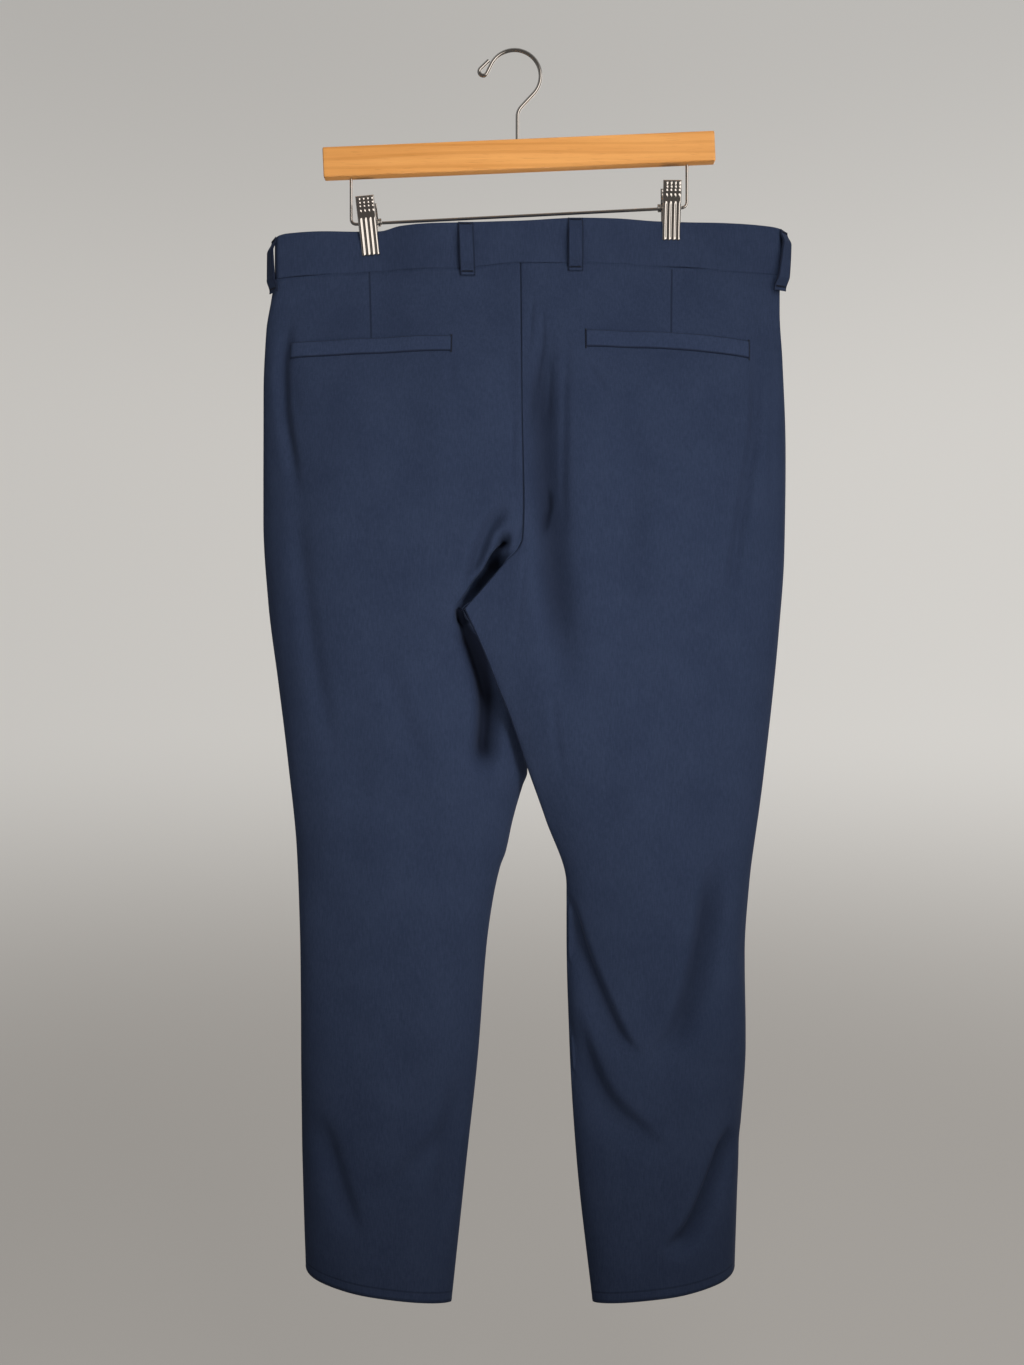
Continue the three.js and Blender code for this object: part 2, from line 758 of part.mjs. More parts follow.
function wireMesh(points, radius, sides) {
  const ring = [];
  for (let i = 0; i < sides; i += 1) {
    const angle = (i * 2 * Math.PI) / sides;
    ring.push(new THREE.Vector2(radius * Math.cos(angle), radius * Math.sin(angle)));
  }
  return new THREE.ExtrudeGeometry(new THREE.Shape(ring), {
    steps: points.length - 1,
    extrudePath: new WirePath(points),
    bevelEnabled: false,
  });
}

// Points round a corner between two straight runs.
function corner(from, at, to, radius, steps = 4) {
  const start = at.clone().add(from.clone().sub(at).setLength(radius));
  const end = at.clone().add(to.clone().sub(at).setLength(radius));
  return new THREE.QuadraticBezierCurve3(start, at, end).getPoints(steps);
}

const flatPoint = (x, z) => new THREE.Vector3(x, 0, z);

// Points along a circle in the hanger's plane, angles in degrees.
function arcPoints(x, z, radius, from, to, steps) {
  const points = [];
  for (let i = 0; i <= steps; i += 1) {
    const angle = THREE.MathUtils.degToRad(mix(from, to, i / steps));
    points.push(flatPoint(x + radius * Math.cos(angle), z + radius * Math.sin(angle)));
  }
  return points;
}

const barAt = (x) => bar.z + (x - bar.x) * Math.tan(bar.tilt);
const rodSlope = (rodEnds.right.low - rodEnds.left.low) / (rodEnds.right.x - rodEnds.left.x);
const rodAt = (x) => rodEnds.left.low + (x - rodEnds.left.x) * rodSlope;
const hookStemX = 2;
const rodSeat = 12; // how deep the rod and the hook sit in the bar

function makeHook() {
  const round = { x: -1, radius: 26 };
  round.z = hookRadius - round.radius;
  const curl = { x: -32.3, z: -19.6, radius: 4 };
  const start = flatPoint(hookStemX, barAt(hookStemX) + bar.height / 2 - rodSeat);
  const bend = flatPoint(hookStemX, -59);
  const big = arcPoints(round.x, round.z, round.radius, -45, 152, 18);
  const small = arcPoints(curl.x, curl.z, curl.radius, -33, -226, 8);
  const stub = small[small.length - 1].clone().add(flatPoint(8.3, 8));
  const points = [start, ...corner(start, bend, big[0], 6), ...big, ...small, stub];
  add("hanger_hook", wireMesh(points, hookRadius, 8), chrome);
}

function makeRod() {
  const { left, right } = rodEnds;
  const top = (x) => barAt(x) - bar.height / 2 + rodSeat;
  const points = [left, right].map(({ x, low }) => [flatPoint(x, top(x)), flatPoint(x, low)]);
  const [[a, b], [d, c]] = points;
  add("hanger_rod", wireMesh([a, ...corner(a, b, c, 6), ...corner(b, c, d, 6), d], rodRadius, 8), chrome);
}

// A geometry as a solid that can be joined or cut, and back again.
function solidOf(geometry) {
  const bare = geometry.clone();
  bare.deleteAttribute("normal");
  bare.deleteAttribute("uv");
  const merged = mergeVertices(bare, 1e-4);
  return new wasm.Manifold(
    new wasm.Mesh({
      numProp: 3,
      vertProperties: merged.getAttribute("position").array,
      triVerts: new Uint32Array(merged.index.array),
    }),
  );
}

function geometryOf(solid) {
  const mesh = solid.getMesh();
  const geometry = new THREE.BufferGeometry();
  geometry.setAttribute("position", new THREE.BufferAttribute(mesh.vertProperties, 3));
  geometry.setIndex(new THREE.BufferAttribute(mesh.triVerts, 1));
  return geometry;
}

// The bar: a rounded board with blind holes for the hook and for both ends of the rod.
function makeBar() {
  const halfX = bar.length / 2;
  const halfZ = bar.height / 2;
  const round = 3;
  const face = new THREE.Shape();
  face.moveTo(-halfX + round, -halfZ);
  face.lineTo(halfX - round, -halfZ);
  face.quadraticCurveTo(halfX, -halfZ, halfX, -halfZ + round);
  face.lineTo(halfX, halfZ - round);
  face.quadraticCurveTo(halfX, halfZ, halfX - round, halfZ);
  face.lineTo(-halfX + round, halfZ);
  face.quadraticCurveTo(-halfX, halfZ, -halfX, halfZ - round);
  face.lineTo(-halfX, -halfZ + round);
  face.quadraticCurveTo(-halfX, -halfZ, -halfX + round, -halfZ);
  const board = new THREE.ExtrudeGeometry(face, {
    depth: bar.depth - 2 * bar.edge,
    curveSegments: 3,
    bevelThickness: bar.edge,
    bevelSize: bar.edge,
    bevelOffset: -bar.edge,
    bevelSegments: 2,
  });
  board.translate(0, 0, bar.edge - bar.depth / 2);
  board.rotateX(Math.PI / 2);
  board.rotateY(-bar.tilt);
  board.translate(bar.x, 0, bar.z);
  let solid = solidOf(board);
  const hole = (x, above, radius) => {
    const bore = new THREE.CylinderGeometry(radius, radius, 2 * rodSeat + 1, 12);
    bore.rotateX(Math.PI / 2);
    bore.translate(x, 0, barAt(x) + (above ? 0.5 : -0.5) * bar.height);
    solid = solid.subtract(solidOf(bore));
  };
  hole(hookStemX, true, hookRadius + wireClearance);
  hole(rodEnds.left.x, false, rodRadius + wireClearance);
  hole(rodEnds.right.x, false, rodRadius + wireClearance);
  add("hanger_bar", geometryOf(solid), varnishedWood);
}

// Inner face of a jaw at each height over the rod, and an ear on each side that holds the rod.
const jawProfile = table("z y", [
  [jaw.up, 11.5],
  [17, 11],
  [9, 8.4],
  [0, 6.6],
  [-12, 4.6],
  [-24, 3.1],
  [-jaw.down, 2.85],
]);
const ear = { wall: 1, radius: 3.7, inset: { back: 0.6, front: 2.1 } };

function makeJaw(side, face) {
  const clip = clips[side];
  const depth = face === "back" ? -1 : 1;
  const columns = 8;
  const grid = [];
  for (const { z } of jawProfile) {
    const fluted = z < 5 ? 1 : 0;
    grid.push(
      Array.from({ length: columns + 1 }, (_, i) => {
        const ridge = (i % 2) * jaw.flute * fluted;
        const y = along(jawProfile, "z", "y", z) + jaw.plate + ridge;
        return new THREE.Vector3((i / columns - 0.5) * jaw.width, depth * y, z);
      }),
    );
  }
  const inner = grid.map((row) => row.map((point) => new THREE.Vector3(0, -depth * jaw.plate, 0)));
  let solid = solidOf(wallMesh(grid, inner));
  for (const end of [-1, 1]) {
    const lug = new THREE.Shape();
    const plateY = (z) => along(jawProfile, "z", "y", z) + 0.4;
    lug.moveTo(plateY(7), 7);
    lug.lineTo(1, ear.radius);
    lug.absarc(0, 0, ear.radius, Math.PI / 2, (3 * Math.PI) / 2, false);
    lug.lineTo(1, -ear.radius);
    lug.lineTo(plateY(-9), -9);
    lug.closePath();
    const bore = new THREE.Path();
    bore.absarc(0, 0, rodRadius + earPlay, 0, Math.PI * 2, true);
    lug.holes.push(bore);
    const lugForm = { depth: ear.wall, bevelEnabled: false, curveSegments: 5 };
    const lugPlate = new THREE.ExtrudeGeometry(lug, lugForm);
    // The outline's own x is the jaw's depth and its y the height, and it is extruded along the rod.
    const place = new THREE.Matrix4().makeBasis(
      new THREE.Vector3(0, depth, 0),
      new THREE.Vector3(0, 0, 1),
      new THREE.Vector3(depth, 0, 0),
    );
    lugPlate.applyMatrix4(place);
    const inset = jaw.width / 2 - ear.inset[face] - ear.wall / 2;
    lugPlate.translate(end * inset - (depth * ear.wall) / 2, 0, 0);
    solid = solid.add(solidOf(lugPlate));
  }
  const mesh = add("jaw_" + face + "_" + side, geometryOf(solid), chrome);
  mesh.position.set(clip.x, 0, rodAt(clip.x));
  mesh.rotation.y = -clip.lean;
}

// A clip's spring: coils round the rod beside the jaws, with an arm up each jaw.
function makeSpring(side) {
  const clip = clips[side];
  const wire = 0.7;
  const coil = rodRadius + wireClearance + 2 * wire;
  const outward = clip.springSide;
  const start = jaw.width / 2 + 0.9;
  const turns = 2;
  const points = [new THREE.Vector3(start * outward, -6.5, 17), new THREE.Vector3(start * outward, -3.4, 3)];
  const steps = 18;
  for (let i = 0; i <= steps; i += 1) {
    const angle = Math.PI + (0.15 - (turns + 0.3) * (i / steps)) * 2 * Math.PI * -1;
    const x = (start + (i / steps) * turns * 2 * (wire + 0.12)) * outward;
    points.push(new THREE.Vector3(x, coil * Math.cos(angle), coil * Math.sin(angle)));
  }
  const mesh = add("clip_spring_" + side, wireMesh(points, wire, 5), chrome);
  mesh.position.set(clip.x, 0, rodAt(clip.x));
  mesh.rotation.y = -clip.lean;
}

makePanels();
makeWaistband();
makeLoop("loop_back_left", -48.5, 0, 0.08, 0.04);
makeLoop("loop_back_right", 59.5, 0, -0.05, 0);
makeLoop("loop_side_left", bandLeft + 0.4, 0, -1.35, 0);
makeLoop("loop_side_right", bandRight - 1.6, 0, 0.95, -0.1);
makeLoop("loop_front_left", -112, 1, 0, 0);
makeLoop("loop_front_right", 112, 1, 0, 0);
makeTrim();
makeButton();
makeBar();
makeHook();
makeRod();
for (const side of Object.keys(clips)) {
  makeJaw(side, "back");
  makeJaw(side, "front");
  makeSpring(side);
}

export default parts;
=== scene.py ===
import math

import bpy
import numpy as np
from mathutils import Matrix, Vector


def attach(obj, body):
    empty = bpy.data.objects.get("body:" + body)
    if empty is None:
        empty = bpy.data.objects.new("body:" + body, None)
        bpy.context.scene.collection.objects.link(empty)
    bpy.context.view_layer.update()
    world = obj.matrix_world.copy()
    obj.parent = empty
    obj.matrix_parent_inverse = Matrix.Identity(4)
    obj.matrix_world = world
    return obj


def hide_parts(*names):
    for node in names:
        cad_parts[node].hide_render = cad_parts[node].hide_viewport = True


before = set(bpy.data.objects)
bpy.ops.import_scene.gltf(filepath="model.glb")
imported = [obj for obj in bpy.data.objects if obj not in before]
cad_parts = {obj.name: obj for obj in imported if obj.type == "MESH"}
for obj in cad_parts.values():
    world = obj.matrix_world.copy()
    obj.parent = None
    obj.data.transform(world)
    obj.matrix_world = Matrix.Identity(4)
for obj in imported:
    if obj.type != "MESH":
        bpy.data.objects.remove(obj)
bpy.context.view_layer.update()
scene = bpy.context.scene
mm = 0.001  # sizes below are in millimetres; the seat faces -Y
print("frame loaded")
sideWay = {"left": -1, "right": 1}  # along x, as seen from behind
faceWay = {"back": -1, "front": 1}  # along y
panelKeys = [(face, side) for face in faceWay for side in sideWay]

shot = {"lens": 35, "x": -3.5, "y": -1327, "z": -630.5}
cameraData = bpy.data.cameras.new("camera")
cameraData.lens = shot["lens"]
cameraData.sensor_width = 36
camera = bpy.data.objects.new("camera", cameraData)
camera.location = Vector((shot["x"], shot["y"], shot["z"])) * mm
camera.rotation_euler = (math.pi / 2, 0, 0)
scene.collection.objects.link(camera)
scene.camera = camera
scene.view_settings.view_transform = "Standard"


# A node's output: sums on it add Math nodes.
class Socket:
    def __init__(self, shader, socket):
        self.shader, self.socket = shader, socket

    def __add__(self, other):
        return self.shader.maths("ADD", self, other)

    def __radd__(self, other):
        return self.shader.maths("ADD", other, self)

    def __sub__(self, other):
        return self.shader.maths("SUBTRACT", self, other)

    def __rsub__(self, other):
        return self.shader.maths("SUBTRACT", other, self)

    def __mul__(self, other):
        return self.shader.maths("MULTIPLY", self, other)

    def __rmul__(self, other):
        return self.shader.maths("MULTIPLY", other, self)


class Shader:
    def __init__(self, tree):
        self.tree = tree
        tree.nodes.clear()

    # Any other node: its type, its settings, then the values or links of its sockets.
    def node(self, kind, settings=None, inputs=None, output=0):
        made = self.tree.nodes.new("ShaderNode" + kind)
        for key, value in (settings or {}).items():
            setattr(made, key, value)
        for key, value in (inputs or {}).items():
            if isinstance(value, Socket):
                self.tree.links.new(value.socket, made.inputs[key])
            else:
                made.inputs[key].default_value = value
        return Socket(self, made.outputs[output]) if output is not None else None

    def maths(self, operation, a, b=0.0):
        return self.node("Math", {"operation": operation}, {0: a, 1: b})

    def vectors(self, operation, a, b, output=0):
        return self.node("VectorMath", {"operation": operation}, {0: a, 1: b}, output)

    def step(self, value, low, high):  # 0 at low, 1 at high, smooth between
        places = {"Value": value, "From Min": low, "From Max": high}
        return self.node("MapRange", {"interpolation_type": "SMOOTHSTEP"}, places)

    def mix(self, factor, a, b):
        a, b = [(*c, 1) if isinstance(c, tuple) else c for c in (a, b)]
        return self.node("Mix", {"data_type": "RGBA"}, {0: factor, 6: a, 7: b}, 2)

    def noise(self, place, scale, detail=3, rough=0.55):
        inputs = {"Vector": place, "Scale": scale, "Detail": detail, "Roughness": rough}
        return self.node("TexNoise", {}, inputs)

    def place(self, stretch=(1, 1, 1), turn=(0, 0, 0)):
        at = self.node("TexCoord", output=3)
        return self.node("Mapping", {}, {"Vector": at, "Rotation": turn, "Scale": stretch})

    def part(self, vector, axis):
        return self.node("SeparateXYZ", {}, {"Vector": vector}, axis)

    def stored(self, name):  # a number kept on the mesh's points
        return self.node("Attribute", {"attribute_name": name}, {}, 2)

    def bump(self, height, strength, distance, under=None):
        inputs = {"Height": height, "Strength": strength, "Distance": distance}
        return self.node("Bump", {}, {**inputs, **({"Normal": under} if under else {})})

    def line(self, start, end, width):  # 1 on a line between two points of the XZ plane, 0 beside it
        run = Vector((end[0] - start[0], 0, end[1] - start[1])) * mm
        first = Vector((start[0], 0, start[1])) * mm
        flat = self.vectors("MULTIPLY", self.node("TexCoord", output=3), (1, 0, 1))
        own = self.vectors("SUBTRACT", flat, first)
        along = self.vectors("DOT_PRODUCT", own, run / run.length_squared, 1)
        along = self.node("Clamp", {}, {"Value": along})
        nearest = self.node("VectorMath", {"operation": "SCALE"}, {0: run, "Scale": along})
        away = self.vectors("DISTANCE", own, nearest, 1)
        return 1 - self.step(away, 0.3 * width * mm, width * mm)

    def finish(self, **sockets):
        inputs = {key.replace("_", " "): value for key, value in sockets.items()}
        surface = self.node("BsdfPrincipled", {}, inputs)
        self.node("OutputMaterial", {}, {"Surface": surface}, None)


def newMaterial(name):
    material = bpy.data.materials.new(name)
    material.use_nodes = True
    return material, Shader(material.node_tree)


def makeMesh(name, points, faces, material, wall=0.0, attributes=None):
    mesh = bpy.data.meshes.new(name)
    mesh.from_pydata((np.asarray(points).reshape(-1, 3) * mm).tolist(), [], faces)
    mesh.polygons.foreach_set("use_smooth", [True] * len(faces))
    mesh.materials.append(material)
    for key, values in (attributes or {}).items():
        data = mesh.attributes.new(key, "FLOAT", "POINT").data
        data.foreach_set("value", np.asarray(values, float).ravel())
    piece = bpy.data.objects.new(name, mesh)
    scene.collection.objects.link(piece)
    if wall:
        shell = piece.modifiers.new("wall", "SOLIDIFY")
        shell.thickness, shell.offset = wall * mm, -1
    return piece


def gridFaces(rows, columns, flip=False, closed=False):
    faces = []
    last = columns if closed else columns - 1
    for j in range(rows - 1):
        for i in range(last):
            k = (i + 1) % columns
            quad = (j * columns + i, (j + 1) * columns + i, (j + 1) * columns + k, j * columns + k)
            faces.append(quad[::-1] if flip else quad)
    return faces


def makeGrid(name, grid, material, wall, outward, attributes=None):  # outward points out of the cloth
    rows, columns = grid.shape[:2]
    middle = grid[rows // 2, columns // 2]
    right, down = grid[rows // 2, columns // 2 + 1] - middle, grid[rows // 2 + 1, columns // 2] - middle
    flip = np.dot(np.cross(down, right), outward) < 0
    return makeMesh(name, grid, gridFaces(rows, columns, flip), material, wall, attributes)


def settle(piece, slot, *nodes):
    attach(piece, "root")
    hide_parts(*nodes)


# Plain studio: a pale bowl of floor and wall, a soft sky and large soft lamps.
studio = {
    "sky": (1.0, 0.99, 0.97), "skyUp": 0.27, "skyDown": 0.07, "skyFade": (-0.7, 0.9),
    "shade": (1.0, 0.9, 0.82), "shadeFade": (0.2, 0.8), "shadeLight": 0.08,
    "pane": 1.5, "paneLeft": (0.2, 0.35), "paneRight": (0.75, 0.9), "paneUp": 0.1, "paneEdge": (0.3, 0.5),
}
bowl = {  # the fades are in metres
    "floorZ": -1560, "flatReach": 1300, "wallReach": 3300, "wallTop": 6000,
    "flatRings": 4, "curveRings": 16, "turns": 96,
    "floorShade": (0.50, 0.475, 0.445), "wallPaint": (0.95, 0.93, 0.89), "highShade": (0.76, 0.745, 0.715),
    "floorFade": (-1.58, -0.75), "highFade": (0.1, 1.7), "acrossFade": (-2.2, 2.2), "across": 0.19,
    "glow": 0.6, "soak": 0.7,
}
lamps = [  # name, place, size, watts, colour, spread in degrees, height of what it lights
    ("overhead", (250, -950, 800), 500, 12.4, (1.0, 0.98, 0.95), 180, -650),
    ("window", (1050, -1350, -480), 450, 0.95, (0.96, 0.98, 1.0), 50, -620),
    ("fill", (-1300, -1350, -520), 450, 0.6, (1.0, 0.97, 0.93), 52, -740),
    ("bounce", (100, -900, -1750), 700, 1.25, (1.0, 0.93, 0.86), 42, -60),
    ("rear", (-250, 1050, 600), 600, 12, (1.0, 0.98, 0.95), 180, -650),
    ("low", (200, 1300, -900), 500, 1.4, (1.0, 0.97, 0.93), 56, -800),
]


def makeSky():
    world = bpy.data.worlds.new("studio")
    world.use_nodes = True
    scene.world = world
    sky = Shader(world.node_tree)
    way = sky.node("TexCoord")
    right, back, up = [sky.part(way, axis) for axis in range(3)]
    even = sky.step(up, *studio["skyFade"]) * (studio["skyUp"] - studio["skyDown"]) + studio["skyDown"]
    # The room is dark in front and behind, but for one bright window on the right.
    dark = sky.step(sky.maths("ABSOLUTE", back), *studio["shadeFade"])
    across = sky.step(right, *studio["paneLeft"]) * (1 - sky.step(right, *studio["paneRight"]))
    level = 1 - sky.step(sky.maths("ABSOLUTE", up - studio["paneUp"]), *studio["paneEdge"])
    window = across * level * studio["pane"] + studio["shadeLight"]
    colour = sky.mix(dark, studio["sky"], studio["shade"])
    light = sky.node("Background", {}, {"Color": colour, "Strength": even + (window - even) * dark})
    sky.node("OutputWorld", {}, {"Surface": light}, None)


def bowlPaint():
    paint, shader = newMaterial("bowl_paint")
    place = shader.place()
    width, height = [shader.part(place, axis) for axis in (0, 2)]
    # painted shade on the backdrop: darker towards the floor, towards the top and on the left side; it also
    # glows by itself
    shade = shader.mix(shader.step(height, *bowl["floorFade"]), bowl["floorShade"], bowl["wallPaint"])
    shade = shader.mix(shader.step(height, *bowl["highFade"]), shade, bowl["highShade"])
    side = (1 - shader.step(width, *bowl["acrossFade"])) * bowl["across"]
    shade = shader.mix(side, shade, (0.0, 0.0, 0.0))
    shader.finish(Base_Color=shader.mix(bowl["soak"], shade, (0.0, 0.0, 0.0)), Roughness=0.95,
                  Specular_IOR_Level=0.1, Emission_Color=shade, Emission_Strength=bowl["glow"])
    return paint


def makeBowl():
    flat, floor, turns = bowl["flatReach"], bowl["floorZ"], bowl["turns"]
    curve = bowl["wallReach"] - flat
    rings = [(flat * i / bowl["flatRings"], floor) for i in range(1, bowl["flatRings"] + 1)]
    for i in range(1, bowl["curveRings"] + 1):
        angle = math.pi / 2 * i / bowl["curveRings"]
        rings.append((flat + curve * math.sin(angle), floor + curve * (1 - math.cos(angle))))
    rings.append((bowl["wallReach"], bowl["wallTop"]))
    points = [(0, 0, floor)]
    for reach, z in rings:
        for i in range(turns):
            angle = 2 * math.pi * i / turns
            points.append((reach * math.cos(angle), reach * math.sin(angle), z))
    faces = [(0, 1 + i, 1 + (i + 1) % turns) for i in range(turns)]
    for quad in gridFaces(len(rings), turns, closed=True):
        faces.append(tuple(1 + corner for corner in quad))
    piece = makeMesh("bowl", points, faces, bowlPaint())
    piece.visible_shadow = piece.visible_diffuse = piece.visible_glossy = False


def makeLamps():
    for name, place, size, watts, colour, spread, target in lamps:
        data = bpy.data.lights.new(name, "AREA")
        data.shape, data.size, data.energy, data.color = "DISK", size * mm, watts, colour
        data.spread = math.radians(spread)
        lamp = bpy.data.objects.new(name, data)
        lamp.location = Vector(place) * mm
        lamp.visible_glossy = False
        toward = Vector((0, 0, target * mm)) - lamp.location
        lamp.rotation_euler = toward.to_track_quat("-Z", "Y").to_euler()
        scene.collection.objects.link(lamp)


makeSky()
makeBowl()
makeLamps()
print("studio ready")

# The hanger's own sizes come first, because the waistband is flat inside its clips.
bar = {"length": 391, "depth": 12, "height": 30, "x": 3.5, "z": -104, "tilt": 0.042}
jaw = {"width": 18.5, "up": 24, "down": 33, "plate": 1, "flute": 0.9}
clips = {
    "left": {"x": -147.4, "lean": 0.096, "springSide": 1},
    "right": {"x": 155.5, "lean": -0.008, "springSide": -1},
}
rodEnds = {"left": (-164.3, -172.6), "right": (171.4, -155.6)}

band = {
    "halfDepth": 10.5, "taper": 0.35, "foldRadius": 6, "drop": 12,
    "pinched": 2.45, "pinchReach": 32, "pinchPast": 1,  # flat inside the clips and just past them
    "edges": [  # x, top, bottom
        (-240.5, -187, -229.5), (-227, -183.6, -227.6), (-172, -180.4, -222.8), (-135.5, -179.7, -220.4),
        (-114.9, -175.4, -219.6), (-57, -173.5, -218.8), (5, -171.8, -213.8), (67, -168.9, -214),
        (97, -169.2, -214.3), (166, -170.7, -216), (214, -173.7, -222.2), (254, -176.9, -225.1),
        (267, -179.5, -227),
    ],
}

cut = {
    "crotchZ": -559, "hemInnerZ": -1243, "hemOuterZ": -1214, "sideTopZ": -226, "riseTopZ": -213,
    "openReach": 110, "inBand": 0.4, "seamSpan": (-1275.0, -190.0), "seamStep": 0.5,
    "side": {  # z, x, y down each side seam
        "left": [
            (-226, -240.5, 0), (-250, -244.8, 0), (-280, -249.8, 0), (-340, -252.5, 0), (-470, -252.3, 0),
            (-550, -247.3, 0), (-630, -237.3, 0), (-710, -227.3, 0), (-800, -218.7, 1), (-900, -215.2, 2),
            (-1070, -214.3, 4), (-1216, -210.4, 6),
        ],
        "right": [
            (-224, 267, 0), (-236, 264.5, 0), (-260, 264.6, 0), (-310, 267.6, 0), (-400, 270.4, 0),
            (-500, 268.9, 0), (-590, 262.4, 0), (-670, 254.3, 0), (-750, 244.2, 0), (-830, 234, 1),
            (-900, 229.6, 2), (-990, 230.2, 3), (-1110, 223.4, 5), (-1216, 219.9, 6),
        ],
    },
    "rise": {
        "back": [
            (-213, 4.9, -9), (-254, 5.4, -19), (-356, 6.2, -35), (-454, 7.8, -43), (-491, 6.5, -45),
            (-500, 2.9, -45), (-511, -7.4, -45), (-559, -50, -42),
        ],
        "front": [
            (-222, 2, 9), (-300, 3, 24), (-400, 4, 31), (-470, 2, 29), (-505, -6, 18), (-530, -18, 2),
            (-545, -30, -15), (-559, -50, -42),
        ],
    },
    "inseam": {
        "left": [
            (-559, -50, -42), (-570, -43.5, -34), (-585, -34, -26), (-605, -19, -15), (-634, -2, -4),
            (-680, 10.5, 2), (-720, 12.5, 4), (-734, 7.5, 4), (-768, -2.5, 3), (-800, -9.5, 1),
            (-813, -14.5, 0), (-849, -22.5, -2), (-892, -28.4, -4), (-996, -36.4, -6), (-1105, -48.2, -8),
            (-1243, -63, -12),
        ],
        "right": [
            (-559, -50, -42), (-597, -32.7, -37), (-634, -18.1, -33), (-666, -5.5, -29), (-718, 12.2, -24),
            (-766, 29.1, -18), (-831, 50, -12), (-886, 50.1, -9), (-996, 53.2, -8), (-1105, 60.1, -9),
            (-1243, 75.8, -12),
        ],
    },
    "full": {  # z, x1, y1, reach, y2: where the handles of each section's curve end
        ("back", "left"): [
            (-214, -85, -9, 4, -8), (-300, -84, -30, 8, -22), (-400, -74, -46, 8, -38),
            (-480, -72, -53, 6, -46), (-559, -80, -50, 4, -52), (-600, -62, -50, 4, -53),
            (-650, -22, -52, 4, -54), (-720, 4, -54, 3, -53), (-831, -24, -52, 2, -50),
            (-1243, -68, -50, 2, -50),
        ],
        ("back", "right"): [
            (-214, 95, -9, 4, -8), (-300, 96, -30, 8, -22), (-400, 87, -46, 8, -38),
            (-480, 70, -53, 6, -46), (-559, 28, -48, 4, -53), (-634, 26, -51, 4, -54),
            (-720, 32, -54, 3, -53), (-831, 57, -52, 2, -50), (-1243, 81, -50, 2, -50),
        ],
        ("front", "left"): [
            (-224, -88, 9, 4, 8), (-300, -87, 28, 8, 22), (-400, -76, 42, 8, 38), (-470, -56, 46, 6, 48),
            (-520, -32, 34, 5, 58), (-559, -24, 18, 4, 66), (-600, -16, 20, 4, 62), (-650, 0, 40, 4, 56),
            (-720, 7, 52, 3, 52), (-831, -23, 50, 2, 50), (-1243, -68, 48, 2, 48),
        ],
        ("front", "right"): [
            (-224, 92, 9, 4, 8), (-300, 93, 28, 8, 22), (-400, 84, 42, 8, 38), (-470, 62, 42, 6, 46),
            (-520, 34, 16, 5, 60), (-559, 14, -10, 5, 78), (-634, 22, -6, 4, 72), (-720, 37, 25, 3, 58),
            (-831, 58, 46, 2, 50), (-1243, 81, 48, 2, 48),
        ],
    },
    "tuck": [(-497, 0), (-515, 7), (-538, 9), (-552, 6), (-559, 4), (-575, 0)],
    "tuckReach": 15, "tuckStart": 3, "forkSoft": 20, "forkTail": 120, "forkFade": 0.35,
}


def along(rows, column, at):  # a column of a table at any place, by a curve with no overshoot
    table = np.array([(row[0], row[column]) for row in rows], float)
    places, values = table[:, 0], table[:, 1]
    at = np.asarray(at, float)
    if places[0] > places[-1]:
        places, at = -places, -at
    span = np.diff(places)
    secant = np.diff(values) / span
    slope = np.concatenate([secant[:1], np.zeros(len(values) - 2), secant[-1:]])
    for i in range(1, len(values) - 1):
        if secant[i - 1] * secant[i] > 0:
            slope[i] = 2 * secant[i - 1] * secant[i] / (secant[i - 1] + secant[i])
    at = np.clip(at, places[0], places[-1])
    i = np.clip(np.searchsorted(places, at, side="right") - 1, 0, len(span) - 1)
    t = (at - places[i]) / span[i]
    hump = 3 * t * t - 2 * t * t * t
    start = (1 - hump) * values[i] + (t * t * t - 2 * t * t + t) * span[i] * slope[i]
    return start + hump * values[i + 1] + (t * t * t - t * t) * span[i] * slope[i + 1]


def smooth(t):
    t = np.clip(t, 0, 1)
    return t * t * (3 - 2 * t)


bandLeft, bandRight = band["edges"][0][0], band["edges"][-1][0]
bandMiddle, bandReach = (bandLeft + bandRight) / 2, (bandRight - bandLeft) / 2


def bandHalf(x):
    pinch = np.zeros(np.shape(x))
    for clip in clips.values():
        past = np.maximum(0, np.abs(x - clip["x"]) - jaw["width"] / 2 - band["pinchPast"])
        pinch = np.maximum(pinch, np.exp(-((past / band["pinchReach"]) ** 2)))
    fromMiddle = np.minimum(np.abs(x - bandMiddle), bandReach)
    taper = 1 - band["taper"] * (fromMiddle / bandReach) ** 4
    past = np.maximum(0, fromMiddle - (bandReach - band["foldRadius"])) / band["foldRadius"]
    full = band["halfDepth"] * taper
    return (full + (band["pinched"] - full) * pinch) * np.sqrt(np.maximum(0, 1 - past * past))


def bandEdge(x, column, front):  # column 1 is the top edge, 2 the bottom
    bow = np.maximum(0, 1 - ((x - bandMiddle) / bandReach) ** 2)
    return along(band["edges"], column, x) - front * band["drop"] * bow


def innerSeams():  # each panel's rise and inseam in one line, and the same line with its corner rounded
    step, tail = cut["seamStep"], cut["forkTail"]
    seams, z = {}, np.arange(*cut["seamSpan"], step)
    weights = np.exp(-((np.arange(-tail, tail + 1) * step / cut["forkSoft"]) ** 2) / 2)
    for face, side in panelKeys:
        rise, inseam = cut["rise"][face], cut["inseam"][side]
        for column in (1, 2):
            line = np.where(z > cut["crotchZ"], along(rise, column, z), along(inseam, column, z))
            soft = np.convolve(np.pad(line, tail, "edge"), weights / weights.sum(), "valid")
            seams[face, side, column] = (z, line, soft)
    return seams


seamLines = innerSeams()


def seamPlace(face, side, column, z, t):
    places, line, soft = seamLines[face, side, column]
    exact, rounded = np.interp(z, places, line), np.interp(z, places, soft)
    return exact + (rounded - exact) * smooth(t / cut["forkFade"])


